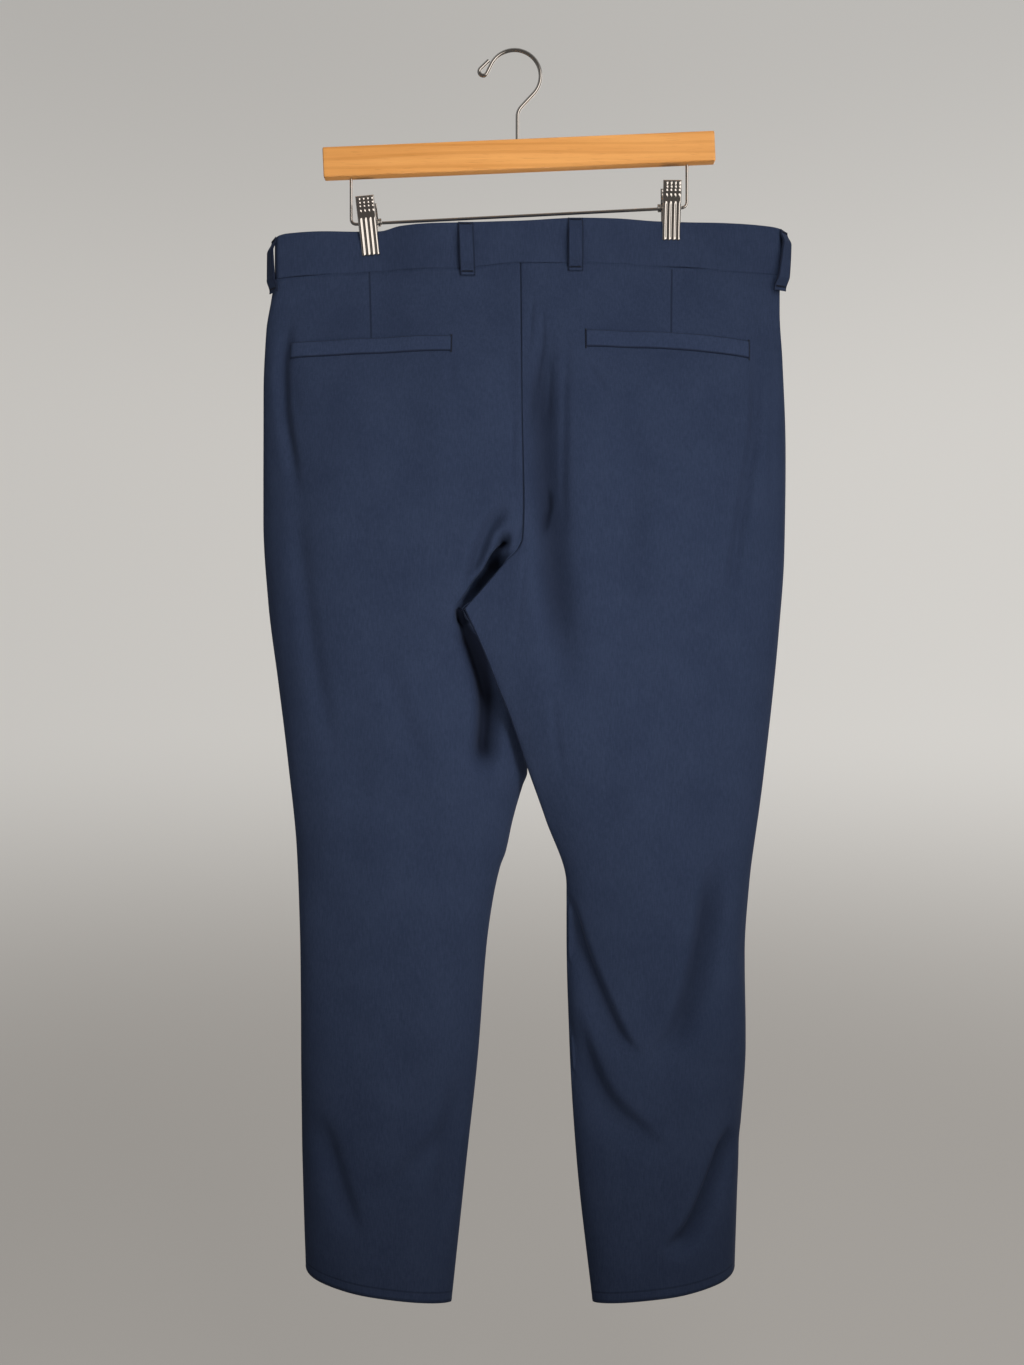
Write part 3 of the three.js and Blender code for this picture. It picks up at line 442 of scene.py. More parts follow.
def sectionPoint(face, side, z, t):  # a panel's outer point, before its creases
    z, t = np.broadcast_arrays(np.asarray(z, float), np.asarray(t, float))
    full = cut["full"][face, side]
    x0, y0 = seamPlace(face, side, 1, z, t), seamPlace(face, side, 2, z, t)
    x3, y3 = along(cut["side"][side], 1, z), along(cut["side"][side], 2, z)
    x1, y1 = along(full, 1, z), along(full, 2, z)
    x2, y2 = x3 - sideWay[side] * along(full, 3, z), along(full, 4, z)
    s = 1 - t
    x = s**3 * x0 + 3 * s * s * t * x1 + 3 * s * t * t * x2 + t**3 * x3
    y = s**3 * y0 + 3 * s * s * t * y1 + 3 * s * t * t * y2 + t**3 * y3
    bandX = x * (bandLeft if side == "left" else bandRight) / x3
    below = np.clip((bandEdge(bandX, 2, face == "front") - z) / cut["openReach"], 0, 1)
    opened = below * (2 - below)
    y = faceWay[face] * np.maximum(0, bandHalf(bandX) - cut["inBand"]) * (1 - opened) + y * opened
    if face == "back" and side == "left":
        fromSeam = np.abs(x - np.interp(z, *seamLines[face, side, 1][:2]))
        step = 1 - np.exp(-((fromSeam / cut["tuckStart"]) ** 2))
        y = y + along(cut["tuck"], 1, z) * step * np.exp(-((fromSeam / cut["tuckReach"]) ** 2))
    return np.stack([x, y, z], -1)


def placeAcross(face, side, x, z):  # where a panel's section passes x at height z
    low, high = np.zeros(np.shape(x)), np.ones(np.shape(x))
    for _ in range(30):
        t = (low + high) / 2
        short = (sectionPoint(face, side, z, t)[..., 0] - x) * sideWay[side] < 0
        low, high = np.where(short, t, low), np.where(short, high, t)
    return (low + high) / 2


# Creases by panel: points x z, width, depth, lean (over 0 is steeper left of its run), fade at its ends.
creases = {
    ("back", "right"): [
        ([(26, -262), (26, -300), (25, -350), (26, -400), (29, -450), (34, -510), (40, -570),
          (46, -650)], 18, 14, -0.1, 0.3),
        ([(18.5, -237), (15.3, -274), (12.4, -306), (11, -345)], 2.8, 1.5, 0, 0.35),
        ([(27.6, -256), (26.4, -295), (22.3, -321), (18.2, -352), (16, -390)], 3, 2.2, 0, 0.3),
        ([(34.5, -304), (33.3, -342), (31, -384)], 2.8, 1.2, 0, 0.4),
        ([(56, -268), (50.8, -295), (48.5, -337), (47.3, -378), (46.2, -440), (46, -500)], 5, 2, 0, 0.35),
        ([(28, -436), (31.5, -448), (32, -456), (29.5, -468), (26, -490)], 3.2, 4, 0, 0.35),
        ([(10, -497), (7, -530), (4, -560), (1, -600)], 3, 1.1, 0, 0.4),
        ([(74, -308), (86, -323), (100, -332)], 3, 1.5, 0, 0.4),
        ([(69, -314), (81, -337), (93, -352)], 4, 1.8, 0, 0.4),
        ([(84, -342), (101, -370), (115, -400), (119, -440), (112, -490), (106, -550)], 17, 3.4, 0, 0.35),
        ([(238, -280), (237, -365), (227, -431), (215, -510), (206, -580)], 7, 5.5, 0, 0.3),
        ([(261, -290), (256.5, -331), (253, -380), (251, -440), (251, -490)], 2.6, 1.6, 0, 0.3),
        ([(36, -630), (38, -670), (46, -730)], 5, 1.3, 0, 0.4),
        ([(48, -836), (60, -880), (73, -912), (90, -950), (104, -977), (124, -998)], 13, 9, 0.5, 0.25),
        ([(196, -790), (189, -860), (180, -908), (160, -968), (140, -990),
          (120, -1002)], 15, 12.5, -0.1, 0.35),
        ([(56, -950), (72, -1005), (90, -1038), (116, -1062), (150, -1092)], 16, 8, 0.4, 0.4),
        ([(215, -1066), (189, -1128), (170, -1164), (144, -1186)], 11, 11.5, -0.25, 0.22),
    ],
    ("back", "left"): [
        ([(-6, -456), (-15, -466), (-26, -481), (-34, -500), (-39, -520), (-46, -543)], 8, 9, 0, 0.3),
        ([(-9, -484), (-12, -499), (-18, -512), (-24, -526), (-35, -541), (-46, -555), (-51, -563),
          (-44, -581)], 5.6, 19, 0.1, 0.12),
        ([(-49, -563), (-39.5, -584), (-30.5, -603), (-20, -632), (-12, -656)], 7, 10, 0, 0.3),
        ([(-51, -562), (-41.5, -583), (-34, -600), (-26, -628), (-23.5, -655),
          (-26, -690), (-29, -722)], 12.5, 22, 0.14, 0.22),
        ([(8, -456), (5.5, -480), (1.5, -493), (-4, -503)], 2.4, 2.4, 0, 0.35),
        ([(-1, -360), (-4, -425), (1, -454)], 3.2, 1.4, 0, 0.4),
        ([(-222, -259), (-228, -292), (-231, -322), (-229, -363), (-222, -405), (-214, -450)], 7, 6, 0, 0.3),
        ([(-216, -425), (-210, -510), (-200, -590), (-190, -645), (-175, -718)], 11, 3.4, 0, 0.35),
        ([(-65, -309), (-62, -350)], 5, 1.4, 0, 0.45),
        ([(-217, -344), (-212, -366)], 3.4, 1, 0, 0.45),
        ([(-132, -596), (-110, -664), (-84, -722)], 12, 2.4, 0, 0.4),
        ([(-50, -1000), (-66, -1085), (-70, -1170)], 14, 5.5, 0, 0.35),
        ([(-194, -1050), (-172, -1122), (-150, -1178)], 14, 5.5, 0.2, 0.35),
        ([(-142, -1140), (-98, -1096), (-54, -1056)], 13, 4, 0.2, 0.4),
    ],
    ("front", "left"): [
        ([(-30, -455), (-78, -540), (-122, -640)], 17, 6, 0.2, 0.35),
        ([(-24, -520), (-58, -600), (-70, -690)], 12, 5, -0.2, 0.35),
        ([(-206, -420), (-200, -520), (-186, -640)], 13, 4, 0, 0.35),
        ([(-58, -890), (-104, -934), (-152, -986)], 15, 5.5, 0.35, 0.35),
        ([(-196, -930), (-160, -990), (-122, -1024)], 13, 4.5, -0.2, 0.35),
        ([(-202, -1080), (-164, -1138), (-128, -1182)], 14, 5, 0.2, 0.35),
    ],
    ("front", "right"): [
        ([(44, -470), (82, -552), (124, -650)], 17, 6, 0.2, 0.35),
        ([(24, -560), (54, -640), (60, -720)], 12, 5, 0.2, 0.35),
        ([(228, -400), (222, -500), (206, -620)], 13, 4, 0, 0.35),
        ([(212, -872), (168, -928), (116, -988)], 15, 5.5, 0.35, 0.35),
        ([(60, -940), (92, -1000), (128, -1040)], 13, 4.5, 0.2, 0.35),
        ([(76, -1060), (116, -1116), (164, -1156)], 14, 5, 0.2, 0.35),
    ],
}
creaseForm = {"step": 1.5, "reach": 4, "rebound": 0.35, "endShare": 0.08}
ripple = {
    "seed": 11, "count": 14, "shortest": 45, "longest": 170, "height": 0.26, "heading": 0.55,
    "margin": 14, "creaseMargin": 3.5,  # how far from a seam the ripples and the creases are full
    "shallow": 3, "clear": 8,  # deeper creases keep this clear of the leg's other face
    "probe": 0.004,
}


def ripples(x, z, seed):
    dice = np.random.default_rng(seed)
    total = np.zeros(np.shape(x))
    for _ in range(ripple["count"]):
        length = math.exp(dice.uniform(math.log(ripple["shortest"]), math.log(ripple["longest"])))
        heading = dice.normal(0, ripple["heading"])
        wave = x * math.cos(heading) + z * math.sin(heading)
        start = dice.uniform(0, 2 * math.pi)
        total += ripple["height"] * (length / 100) * np.sin(2 * math.pi * wave / length + start)
    return total


def relief(face, side, x, z):  # how far the creases stand in from a panel, in millimetres
    total = np.zeros(np.shape(x))
    for points, width, depth, lean, fade in creases[face, side]:
        line = np.array(points, float)
        steps = np.concatenate([[0], np.cumsum(np.hypot(*np.diff(line, axis=0).T))])
        fine = np.linspace(0, steps[-1], int(steps[-1] / creaseForm["step"]) + 2)
        rows = [(step, *point) for step, point in zip(steps, line)]
        path = np.stack([along(rows, 1, fine), along(rows, 2, fine)], -1)
        reach = creaseForm["reach"] * width
        near = (x > path[:, 0].min() - reach) & (x < path[:, 0].max() + reach)
        near &= (z > path[:, 1].min() - reach) & (z < path[:, 1].max() + reach)
        if not near.any():
            continue
        away = np.stack([x[near], z[near]], -1)[:, None] - path[None]
        distance = np.hypot(away[..., 0], away[..., 1])
        nearest = distance.argmin(1)
        run = np.gradient(path, axis=0)[nearest]
        own = away[np.arange(len(nearest)), nearest]
        hand = np.sign(run[:, 0] * own[:, 1] - run[:, 1] * own[:, 0])
        u = distance.min(1) / (width * (1 - lean * hand))
        share = nearest / (len(fine) - 1)
        ends = smooth(np.minimum(share, 1 - share) / fade + creaseForm["endShare"])
        total[near] += depth * ends * np.exp(-u * u) * (1 - creaseForm["rebound"] * u * u)
    return total


# A panel's outer points with creases and ripples, moved out by lift.
def panelPoints(face, side, z, t, margin=1.0, near=1.0, lift=0.0):
    at = sectionPoint(face, side, z, t)
    lower, upper = np.clip(t - ripple["probe"], 0, 1), np.clip(t + ripple["probe"], 0, 1)
    across = sectionPoint(face, side, z, upper) - sectionPoint(face, side, z, lower)
    up = sectionPoint(face, side, z + 1, t) - sectionPoint(face, side, z - 1, t)
    normal = np.cross(across, up) * (-sideWay[side] * faceWay[face])
    normal /= np.maximum(1e-9, np.linalg.norm(normal, axis=-1, keepdims=True))
    wave = ripples(at[..., 0], at[..., 2], ripple["seed"] + (face == "front"))
    inward = near * relief(face, side, at[..., 0], at[..., 2])
    deep = inward > ripple["shallow"]
    if deep.any():  # a deep fold stays clear of the leg's other face
        x, y, height = np.moveaxis(at[deep], -1, 0)
        other = "front" if face == "back" else "back"
        facing = sectionPoint(other, side, height, placeAcross(other, side, x, height))[..., 1]
        room = np.maximum(1, np.abs(facing - y) - ripple["clear"])
        inward[deep] = room * np.tanh(inward[deep] / room)
    return at + normal * (lift - inward - margin * wave)[..., None]


# Twill: diagonal streaks of dark and light yarn, a little mottling and a soft matt sheen.
# The darkest colour serves seam lines and also the painted shade in folds and at the edges of loops and
# welts.
weave = {
    "dark": (0.0180, 0.0272, 0.0565), "light": (0.0268, 0.0390, 0.0755), "seam": (0.008, 0.011, 0.022),
    "streak": 900, "slant": 0.9, "rough": 0.86, "crumple": 60, "foldShade": 0.95, "deepest": 19,
    "darts": [((-145.9, -221.8), (-142.2, -293.7)), ((156, -218.8), (153.5, -284.8))], "dartWidth": 1.4,
    "hemStitch": 10, "stitchFade": (0.4, 1.5), "stitchShade": 0.6, "rimFrom": 0.35, "rimShade": 1.3,
    "markShade": 0.6,
}


def twillMaterial(name, lines=(), panel=False, rim=0.0, shade=1.0):
    material, shader = newMaterial(name)
    yarn = shader.noise(shader.place((1, 1, 0.16), (0, weave["slant"], 0)), weave["streak"], 2, 0.6)
    mottle = shader.noise(shader.place(), 22, 3, 0.6)
    cross = shader.noise(shader.place((0.2, 1, 1), (0, weave["slant"], 0)), weave["streak"] * 1.3, 1)
    tone = yarn * 0.5 + cross * 0.2 + mottle * 0.3
    dark, light = [tuple(shade * c for c in weave[key]) for key in ("dark", "light")]
    colour = shader.mix(shader.step(tone, 0.3, 0.7), dark, light)
    crumple = shader.noise(shader.place((1, 1, 0.6), (0, -0.5, 0)), weave["crumple"], 3, 0.5)
    normal = shader.bump(yarn, 0.3, 0.0002, shader.bump(crumple, 0.5, 0.0012))
    marks = [shader.line(start, end, weave["dartWidth"]) for start, end in lines]
    if panel:  # painted shade: deep folds are darkened by their depth
        foldShade = shader.stored("foldShade")
        colour = shader.mix(foldShade * foldShade * weave["foldShade"], colour, weave["seam"])
        away = shader.maths("ABSOLUTE", shader.stored("hemRise") - weave["hemStitch"])
        marks.append((1 - shader.step(away, *weave["stitchFade"])) * weave["stitchShade"])
    if rim:
        marks.append((1 - shader.step(shader.stored("rim"), weave["rimFrom"], rim)) * weave["rimShade"])
    if marks:
        mark = marks[0]
        for other in marks[1:]:
            mark = shader.maths("MAXIMUM", mark, other)
        colour = shader.mix(mark * weave["markShade"], colour, weave["seam"])
        normal = shader.bump(1 - mark, 0.6, 0.0004, normal)
    rough = weave["rough"] + mottle * 0.1 - yarn * 0.05
    shader.finish(Base_Color=colour, Roughness=rough, Normal=normal, Sheen_Weight=0.045, Sheen_Roughness=0.4,
                  Sheen_Tint=(0.6, 0.7, 1.0, 1), Specular_IOR_Level=0.12)
    return material


twill = twillMaterial("twill")
panelSizes = {
    "wall": 0.9, "spacing": {"back": 2.74, "front": 4.0}, "finer": 0.64, "stations": 260, "intoBand": 0.3,
    "edge": [0, 0.45, 0.9, 1.5, 2.4, 3.8], "groove": 0.7, "grooveWidth": 1.5, "rim": 0.95,
    "bandFade": (8, 24),  # how the creases fade in below the band
    "turnUp": [(0.5, 0.25), (1.1, 1.2), (1.2, 4), (1.2, 14), (1.2, 27)],  # into the leg, up from the hem
    "flat": {"back": (0.315, 1.09, 0.236), "front": (0.285, 1.07, 0.222)},  # width, length and area cut
}


def finer(share):  # steps two thirds as long at the start, where the fork is
    return share * (panelSizes["finer"] + (1 - panelSizes["finer"]) * share)


# Each row's z along a panel's section, the rows' places from 0 to 1, and the inner seam's height.
def panelHeights(face, side, dense):
    front = face == "front"
    drop = band["drop"] * (1 - (bandMiddle / bandReach) ** 2) if front else 0
    innerTop = cut["riseTopZ"] - drop
    topX = sectionPoint(face, side, innerTop + (cut["sideTopZ"] - innerTop) * dense, dense)[:, 0]
    topZ = bandEdge(topX, 2, front) + panelSizes["intoBand"]
    hemZ = cut["hemInnerZ"] + (cut["hemOuterZ"] - cut["hemInnerZ"]) * dense
    tall = topZ[0] - hemZ[0]
    fork = (topZ[0] - cut["crotchZ"]) / tall
    counts = [int(round(share * tall / panelSizes["spacing"][face])) for share in (fork, 1 - fork)]
    closing, opening = [finer(np.linspace(0, 1, count)) for count in counts]
    places = np.concatenate([fork * (1 - closing[::-1]), fork + (1 - fork) * opening[1:]])
    return topZ[None] + (hemZ - topZ)[None] * places[:, None], places, tall


# Each point's z, share across the panel and distance to the nearer seam.
def panelLayout(face, side, z, dense):
    line = sectionPoint(face, side, z, np.broadcast_to(dense, z.shape))
    steps = np.linalg.norm(np.diff(line, axis=1), axis=-1)
    arc = np.concatenate([np.zeros((len(z), 1)), np.cumsum(steps, axis=1)], axis=1)
    edge, length = np.array(panelSizes["edge"]), arc[:, -1:]
    count = int(round((length.max() - 2 * edge[-1]) / panelSizes["spacing"][face]))
    middle = finer(np.linspace(0, 1, count + 1)[1:-1])
    fromInner = np.concatenate([
        np.broadcast_to(edge, (len(z), len(edge))), edge[-1] + (length - 2 * edge[-1]) * middle,
        length - edge[::-1],
    ], axis=1)
    across = np.stack([np.interp(fromInner[j], arc[j], dense) for j in range(len(z))])
    height = np.stack([np.interp(across[j], dense, z[j]) for j in range(len(z))])
    return height, across, np.minimum(fromInner, length - fromInner)


def makePanel(face, side):
    dense = np.linspace(0, 1, panelSizes["stations"])
    rows, places, tall = panelHeights(face, side, dense)
    z, t, toSeam = panelLayout(face, side, rows, dense)
    before, fade = panelSizes["bandFade"]
    free = smooth(((places * tall)[:, None] + before) / fade)
    margin, near = [smooth(toSeam / ripple[key]) * free for key in ("margin", "creaseMargin")]
    groove = panelSizes["groove"] * np.exp(-((toSeam / panelSizes["grooveWidth"]) ** 2))
    grid = [panelPoints(face, side, z, t, margin, near, -groove)]
    for into, rise in panelSizes["turnUp"]:  # the hem is turned up inside the leg
        lift = -groove[-1:] - into
        grid.append(panelPoints(face, side, z[-1:] + rise, t[-1:], margin[-1:], near[-1:], lift))

    at = sectionPoint(face, side, z, t)
    # painted shade: each point's crease depth, as a share of the deepest, darkens its colour
    foldShade = np.clip(near * relief(face, side, at[..., 0], at[..., 2]) / weave["deepest"], 0, 1)
    hemRise = np.broadcast_to(((1 - places) * tall)[:, None], toSeam.shape)
    stored = {"hemRise": hemRise, "foldShade": foldShade, "rim": toSeam}
    for key, values in stored.items():
        stored[key] = np.concatenate([values, np.tile(values[-1:], (len(grid) - 1, 1))])
    name = face + "_" + side
    darts = weave["darts"] if face == "back" else ()
    material = twillMaterial("twill_" + name, darts, True, panelSizes["rim"])
    outward = (0, faceWay[face], 0)
    panel = makeGrid(name + "_cloth", np.concatenate(grid), material, panelSizes["wall"], outward, stored)
    settle(panel, "twill", name)


for face, side in panelKeys:
    makePanel(face, side)
print("panels made")

waistband = {
    "wall": 1.0, "lapEnd": 30, "underEnd": -10, "lapStep": 2.8, "lapKept": 28, "lapFade": 40,
    "columns": 80, "rows": 16, "rowsFrom": 1.6, "rowsLess": 3.4,
    "bottomRoll": [(2.4, 1.3), (0.7, 1.2), (0.1, 0.85), (0.15, 0.4), (0.6, 0.12), (1.4, 0.02)],  # up, inward
    "topRoll": [(1.6, 0.03), (0.7, 0.2), (0.15, 0.6), (0.1, 1.1), (1.0, 1.3), (5, 1.3), (10, 1.3)],  # down
    "flat": (1.08, 0.05), "puff": 0.25, "ripple": 0.6, "seed": 5,
}


def bandAngle(x):
    return math.acos((bandMiddle - x) / bandReach)


def makeWaistband():  # one wrap: from the under end to the right, round the back, and on to the lap
    half, turn, columns = math.pi, 2 * math.pi, waistband["columns"]
    runs = np.concatenate([
        np.linspace(bandAngle(waistband["underEnd"]), half, columns, endpoint=False),
        np.linspace(half, turn, 2 * columns, endpoint=False),
        np.linspace(turn, turn + bandAngle(waistband["lapEnd"]), columns),
    ])
    x = bandMiddle - bandReach * np.cos(runs)
    front = (runs < half) | (runs > turn)
    lapFrom = waistband["lapEnd"] + waistband["lapKept"] + waistband["lapFade"]
    under = smooth((lapFrom - x) / waistband["lapFade"])
    y = np.where(front, 1, -1) * bandHalf(x)
    y = y - np.where(runs < half, waistband["lapStep"] * under, 0)
    run = np.gradient(np.stack([x, y, np.zeros(len(x))], -1), axis=0)
    outward = np.stack([-run[:, 1], run[:, 0], run[:, 2]], -1)
    outward /= np.linalg.norm(outward, axis=-1, keepdims=True)
    bottom, top = bandEdge(x, 2, front), bandEdge(x, 1, front)
    rows = [(bottom + rise, into) for rise, into in waistband["bottomRoll"]]
    for share in np.linspace(0, 1, waistband["rows"] + 2)[1:-1]:
        level = bottom + waistband["rowsFrom"] + (top - bottom - waistband["rowsLess"]) * share
        rows.append((level, -waistband["puff"] * math.sin(math.pi * share)))
    rows += [(top - rise, into) for rise, into in waistband["topRoll"]]
    grid = []
    for level, into in rows:
        wave = waistband["ripple"] * ripples(x * (1 + front), level, waistband["seed"])
        grid.append(np.stack([x, y, level], -1) - outward * (into + wave)[:, None])
    material = twillMaterial("twill_band")
    piece = makeGrid("waistband_cloth", np.array(grid), material, waistband["wall"], outward[2 * columns])
    settle(piece, "twill", "band_back", "band_front_left", "band_front_right")


makeWaistband()
print("waistband made")

thread = {
    "dark": (0.004, 0.006, 0.013), "light": (0.013, 0.018, 0.034), "rough": 0.7, "sides": 6,
    "shape": [  # share of its length, size, rise
        (0, 0.15, -0.5), (0.12, 0.8, 0.3), (0.5, 1, 0.6), (0.88, 0.8, 0.3), (1, 0.15, -0.5),
    ],
    "tackRadius": 0.3, "tackPitch": 0.55, "tackLean": 0.4, "radius": 0.26, "pitch": 3.0, "share": 0.72,
}


def threadMaterial():
    material, shader = newMaterial("thread")
    twist = shader.noise(shader.place(), 1600, 2)
    shader.finish(Base_Color=shader.mix(twist, thread["dark"], thread["light"]), Roughness=thread["rough"],
                  Normal=shader.bump(twist, 0.3, 0.0001))
    return material


sewing = threadMaterial()


def arrays(*values):
    return [np.asarray(value, float) for value in values]


def stitches(name, runs, radius):  # runs are pairs of ends with the way out of the cloth
    points, faces, sides = [], [], thread["sides"]
    for run in runs:
        start, end, out = arrays(*run)
        lengthwise = (end - start) / max(1e-9, np.linalg.norm(end - start))
        sideways = np.cross(out, lengthwise)
        base = len(points)
        for share, size, rise in thread["shape"]:
            middle = start + (end - start) * share + out * radius * rise
            for k in range(sides):
                angle = 2 * math.pi * k / sides
                points.append(middle + size * radius * (math.cos(angle) * sideways + math.sin(angle) * out))
        for j in range(len(thread["shape"]) - 1):
            for k in range(sides):
                first, second = base + j * sides + k, base + j * sides + (k + 1) % sides
                faces.append((first, second, second + sides, first + sides))
    piece = makeMesh(name, points, faces, sewing)
    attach(piece, "root")
    return piece


def barTack(middle, across, lengthwise, out, width, height):  # short threads side by side
    count = max(4, int(width / thread["tackPitch"]))
    middle, across, lengthwise = arrays(middle, across, lengthwise)
    lean = across * width / count * thread["tackLean"]
    runs = []
    for i in range(count):
        at = middle + across * width * ((i + 0.5) / count - 0.5)
        runs.append((at - lengthwise * height / 2 - lean, at + lengthwise * height / 2 + lean, out))
    return runs


def stitchLine(name, points, out):
    pitch = thread["pitch"]
    steps = np.concatenate([[0], np.cumsum(np.linalg.norm(np.diff(points, axis=0), axis=1))])
    runs = []
    for i in range(int(steps[-1] / pitch)):
        ends = (i * pitch, (i + thread["share"]) * pitch)
        start, end = [[np.interp(place, steps, points[:, k]) for k in range(3)] for place in ends]
        runs.append((start, end, out))
    stitches(name, runs, thread["radius"])


loop = {
    "width": 15, "wall": 0.9, "fromTop": 0.5, "rows": 60, "flat": (0.017, 0.068),
    "standOff": 4.4, "sewn": 2, "rise": 12, "least": 1.3, "pressed": 0.6, "pressedReach": 1.2, "clear": 0.15,
    "half": [  # out from the middle, into the cloth
        (0, 0.07), (2.5, 0.06), (5, 0.03), (6.6, 0), (7.2, 0.12), (7.5, 0.5), (7.5, 1.2), (7.4, 2.2),
    ],
    "tackRows": (2, 55), "tack": (11.5, 1.7), "tackLift": 0.15, "bandSteps": 2400, "panelSteps": 1200,
}
# painted shade: the loops' cloth darkens on its side walls and within 2 mm of its side edges, where the loop
# stands in shadow
edgeShadedTwill = twillMaterial("twill_edge_shaded", rim=2.0)
loops = [  # node, x, front, facing, turn, lean, length below the band
    ("loop_back_left", -48.5, 0, 0.02, 0, 0.04, 8),
    ("loop_back_right", 59.5, 0, 0, 0, 0, 8),
    ("loop_side_left", bandLeft + 0.4, 0, -1.16, 0.3, 0.07, 13),
    ("loop_side_right", bandRight - 1.6, 0, 0.95, -0.5, -0.12, 14),
    ("loop_front_left", -112, 1, 0, 0, 0, 8),
    ("loop_front_right", 112, 1, 0, 0, 0, 8),
]


def loopWays(angle, depth):  # out of the cloth, and sideways along it
    out = np.array([math.sin(angle), depth * math.cos(angle), 0])
    return out, np.array([-out[1], out[0], 0])


def skinReach(skins, middle, out, sideways):  # how far the skins behind a loop stand out at one height
    away = 0
    for skin in skins:
        own = skin - middle
        near = np.abs(own @ sideways) < loop["width"] / 2 + 1
        if near.any():
            away = max(away, float((own[near] @ out).max()))
    return away


def makeLoop(name, x, front, facing, turn, lean, past):
    depth = 1 if front else -1
    top = float(bandEdge(x, 1, front)) - loop["fromTop"]
    length = top - float(bandEdge(x, 2, front)) + past
    seat = np.array([x, depth * float(bandHalf(x)), 0])
    across = [(-side, into) for side, into in loop["half"][:0:-1]] + loop["half"]
    xs = bandMiddle - bandReach * np.cos(np.linspace(0, math.pi, loop["bandSteps"]))
    ring = [np.stack([xs, way * bandHalf(xs), 0 * xs], -1) for way in (-1, 1)]
    grid = []
    for down in np.linspace(0, length, loop["rows"]):
        out, sideways = loopWays(facing + turn * down / length, depth)
        middle = seat + sideways * lean * (down - length / 2)
        skins = list(ring)
        if down > length - past - 2:  # below the band the panels lie behind it
            t = np.linspace(0, 1, loop["panelSteps"])
            skins += [sectionPoint(face, side, top - down, t) * [1, 1, 0] for face, side in panelKeys]
        away = skinReach(skins, middle, out, sideways)
        fromEnd = min(down, length - down)
        free = loop["least"] + loop["standOff"] * float(smooth((fromEnd - loop["sewn"]) / loop["rise"]))
        free -= loop["pressed"] * float(smooth(1 - fromEnd / loop["pressedReach"]))
        row = []
        for side, into in across:
            outward = away + free - min(into, free - loop["clear"])
            row.append(middle + out * outward + sideways * side + [0, 0, top - down])
        grid.append(row)
    grid = np.array(grid)
    # rim is 0 on the side walls and grows towards the middle; it sets the painted edge shade
    rim = np.tile([loop["width"] / 2 - abs(side) if into < 1 else 0 for side, into in across], (len(grid), 1))
    piece = makeGrid(name + "_cloth", grid, edgeShadedTwill, loop["wall"], out, {"rim": rim})
    tacks = []
    for row in loop["tackRows"]:
        out, sideways = loopWays(facing + turn * row / loop["rows"], depth)
        middle = grid[row, len(across) // 2] + out * loop["tackLift"]
        tacks += barTack(middle, sideways, (0, 0, 1), out, *loop["tack"])
    tack = stitches(name + "_tacks", tacks, thread["tackRadius"])
    settle(piece, "twill", name)


for entry in loops:
    makeLoop(*entry)
print("belt loops made")


def onSkin(face, side, x, z, lift):
    x, z = arrays(x, z)
    return panelPoints(face, side, z, placeAcross(face, side, x, z), lift=lift)


welts = {  # corners are x and z of its upper edge's two ends
    "left": {"corners": (-223, -294.3, -63, -289.8), "height": 16.5, "bow": 1, "tackAt": [-2]},
    "right": {"corners": (69, -284, 231, -292.6), "height": 18, "bow": 3, "tackAt": [1, -2]},
}
weltForm = {
    "wall": 0.7, "columns": 110, "flat": (0.020, 0.164), "crown": 1.05, "crownRows": 7, "crownEnds": (2.6, 2),
    "topEdge": [(0.0, -0.6), (0.1, 0.35), (0.5, 0.85), (1.2, 1.0)],  # down from it, lift
    "bottomEdge": [(1, 1.0), (0.4, 0.8), (0.1, 0.3), (0, -0.6)],  # up from it, lift
    "endEdge": [(0, 1.7), (0.1, 0.7), (0.5, 0.2), (1.2, 0.05), (2.5, 0)],  # in from it, how much lower
    "lowest": -0.6, "bottomRim": 1.7, "endRim": 0.3, "tackPast": 3, "tack": 2.1, "tackLift": 0.9,
}
# painted light: the welt's cloth is a copy of the twill made 1.1 times lighter, and its rim is darkened
weltTwill = twillMaterial("twill_welt", rim=1.4, shade=1.1)


def makeWelt(side):
    welt, form = welts[side], weltForm
    x1, z1, x2, z2 = welt["corners"]
    height, span = welt["height"], x2 - x1
    crown = np.linspace(form["crownEnds"][0], height - form["crownEnds"][1], form["crownRows"])
    rows = form["topEdge"] + [(drop, form["crown"]) for drop in crown]
    rows += [(height - up, lift) for up, lift in form["bottomEdge"]]
    inward, lower = zip(*form["endEdge"])
    ends, last = np.array(inward[:-1]) / span, inward[-1] / span
    s = np.concatenate([ends, np.linspace(last, 1 - last, form["columns"]), 1 - ends[::-1]])
    fromEnd = np.minimum(s, 1 - s) * span
    endDrop = np.interp(fromEnd, inward, lower)
    grid = []
    for drop, lift in rows:
        z = z1 + (z2 - z1) * s + welt["bow"] * np.sin(math.pi * s) - drop
        grid.append(onSkin("back", side, x1 + span * s, z, np.maximum(form["lowest"], lift - endDrop)))
    grid = np.array(grid)
    # painted shadow along the bottom edge under the lip, about 1.7 times as wide as the thinner dark line
    # along the top and the ends
    fromEdge = np.array([[min(drop, (height - drop) / form["bottomRim"])] for drop, _ in rows])
    rim = np.minimum(fromEdge, fromEnd[None] + form["endRim"])
    out = (0, faceWay["back"], 0)
    piece = makeGrid("welt_" + side + "_cloth", grid, weltTwill, form["wall"], out, {"rim": rim})
    tacks = []
    for column in welt["tackAt"]:
        top, bottom = grid[0, column], grid[-1, column]
        upright = (top - bottom) / np.linalg.norm(top - bottom)
        middle = (top + bottom) / 2 + np.array(out) * form["tackLift"]
        across = np.cross(upright, out)
        tacks += barTack(middle, upright, across, out, height + form["tackPast"], form["tack"])
    tack = stitches("welt_" + side + "_tacks", tacks, thread["tackRadius"])
    settle(piece, "twill", "welt_" + side)


for side in sideWay:
    makeWelt(side)
print("welts made")

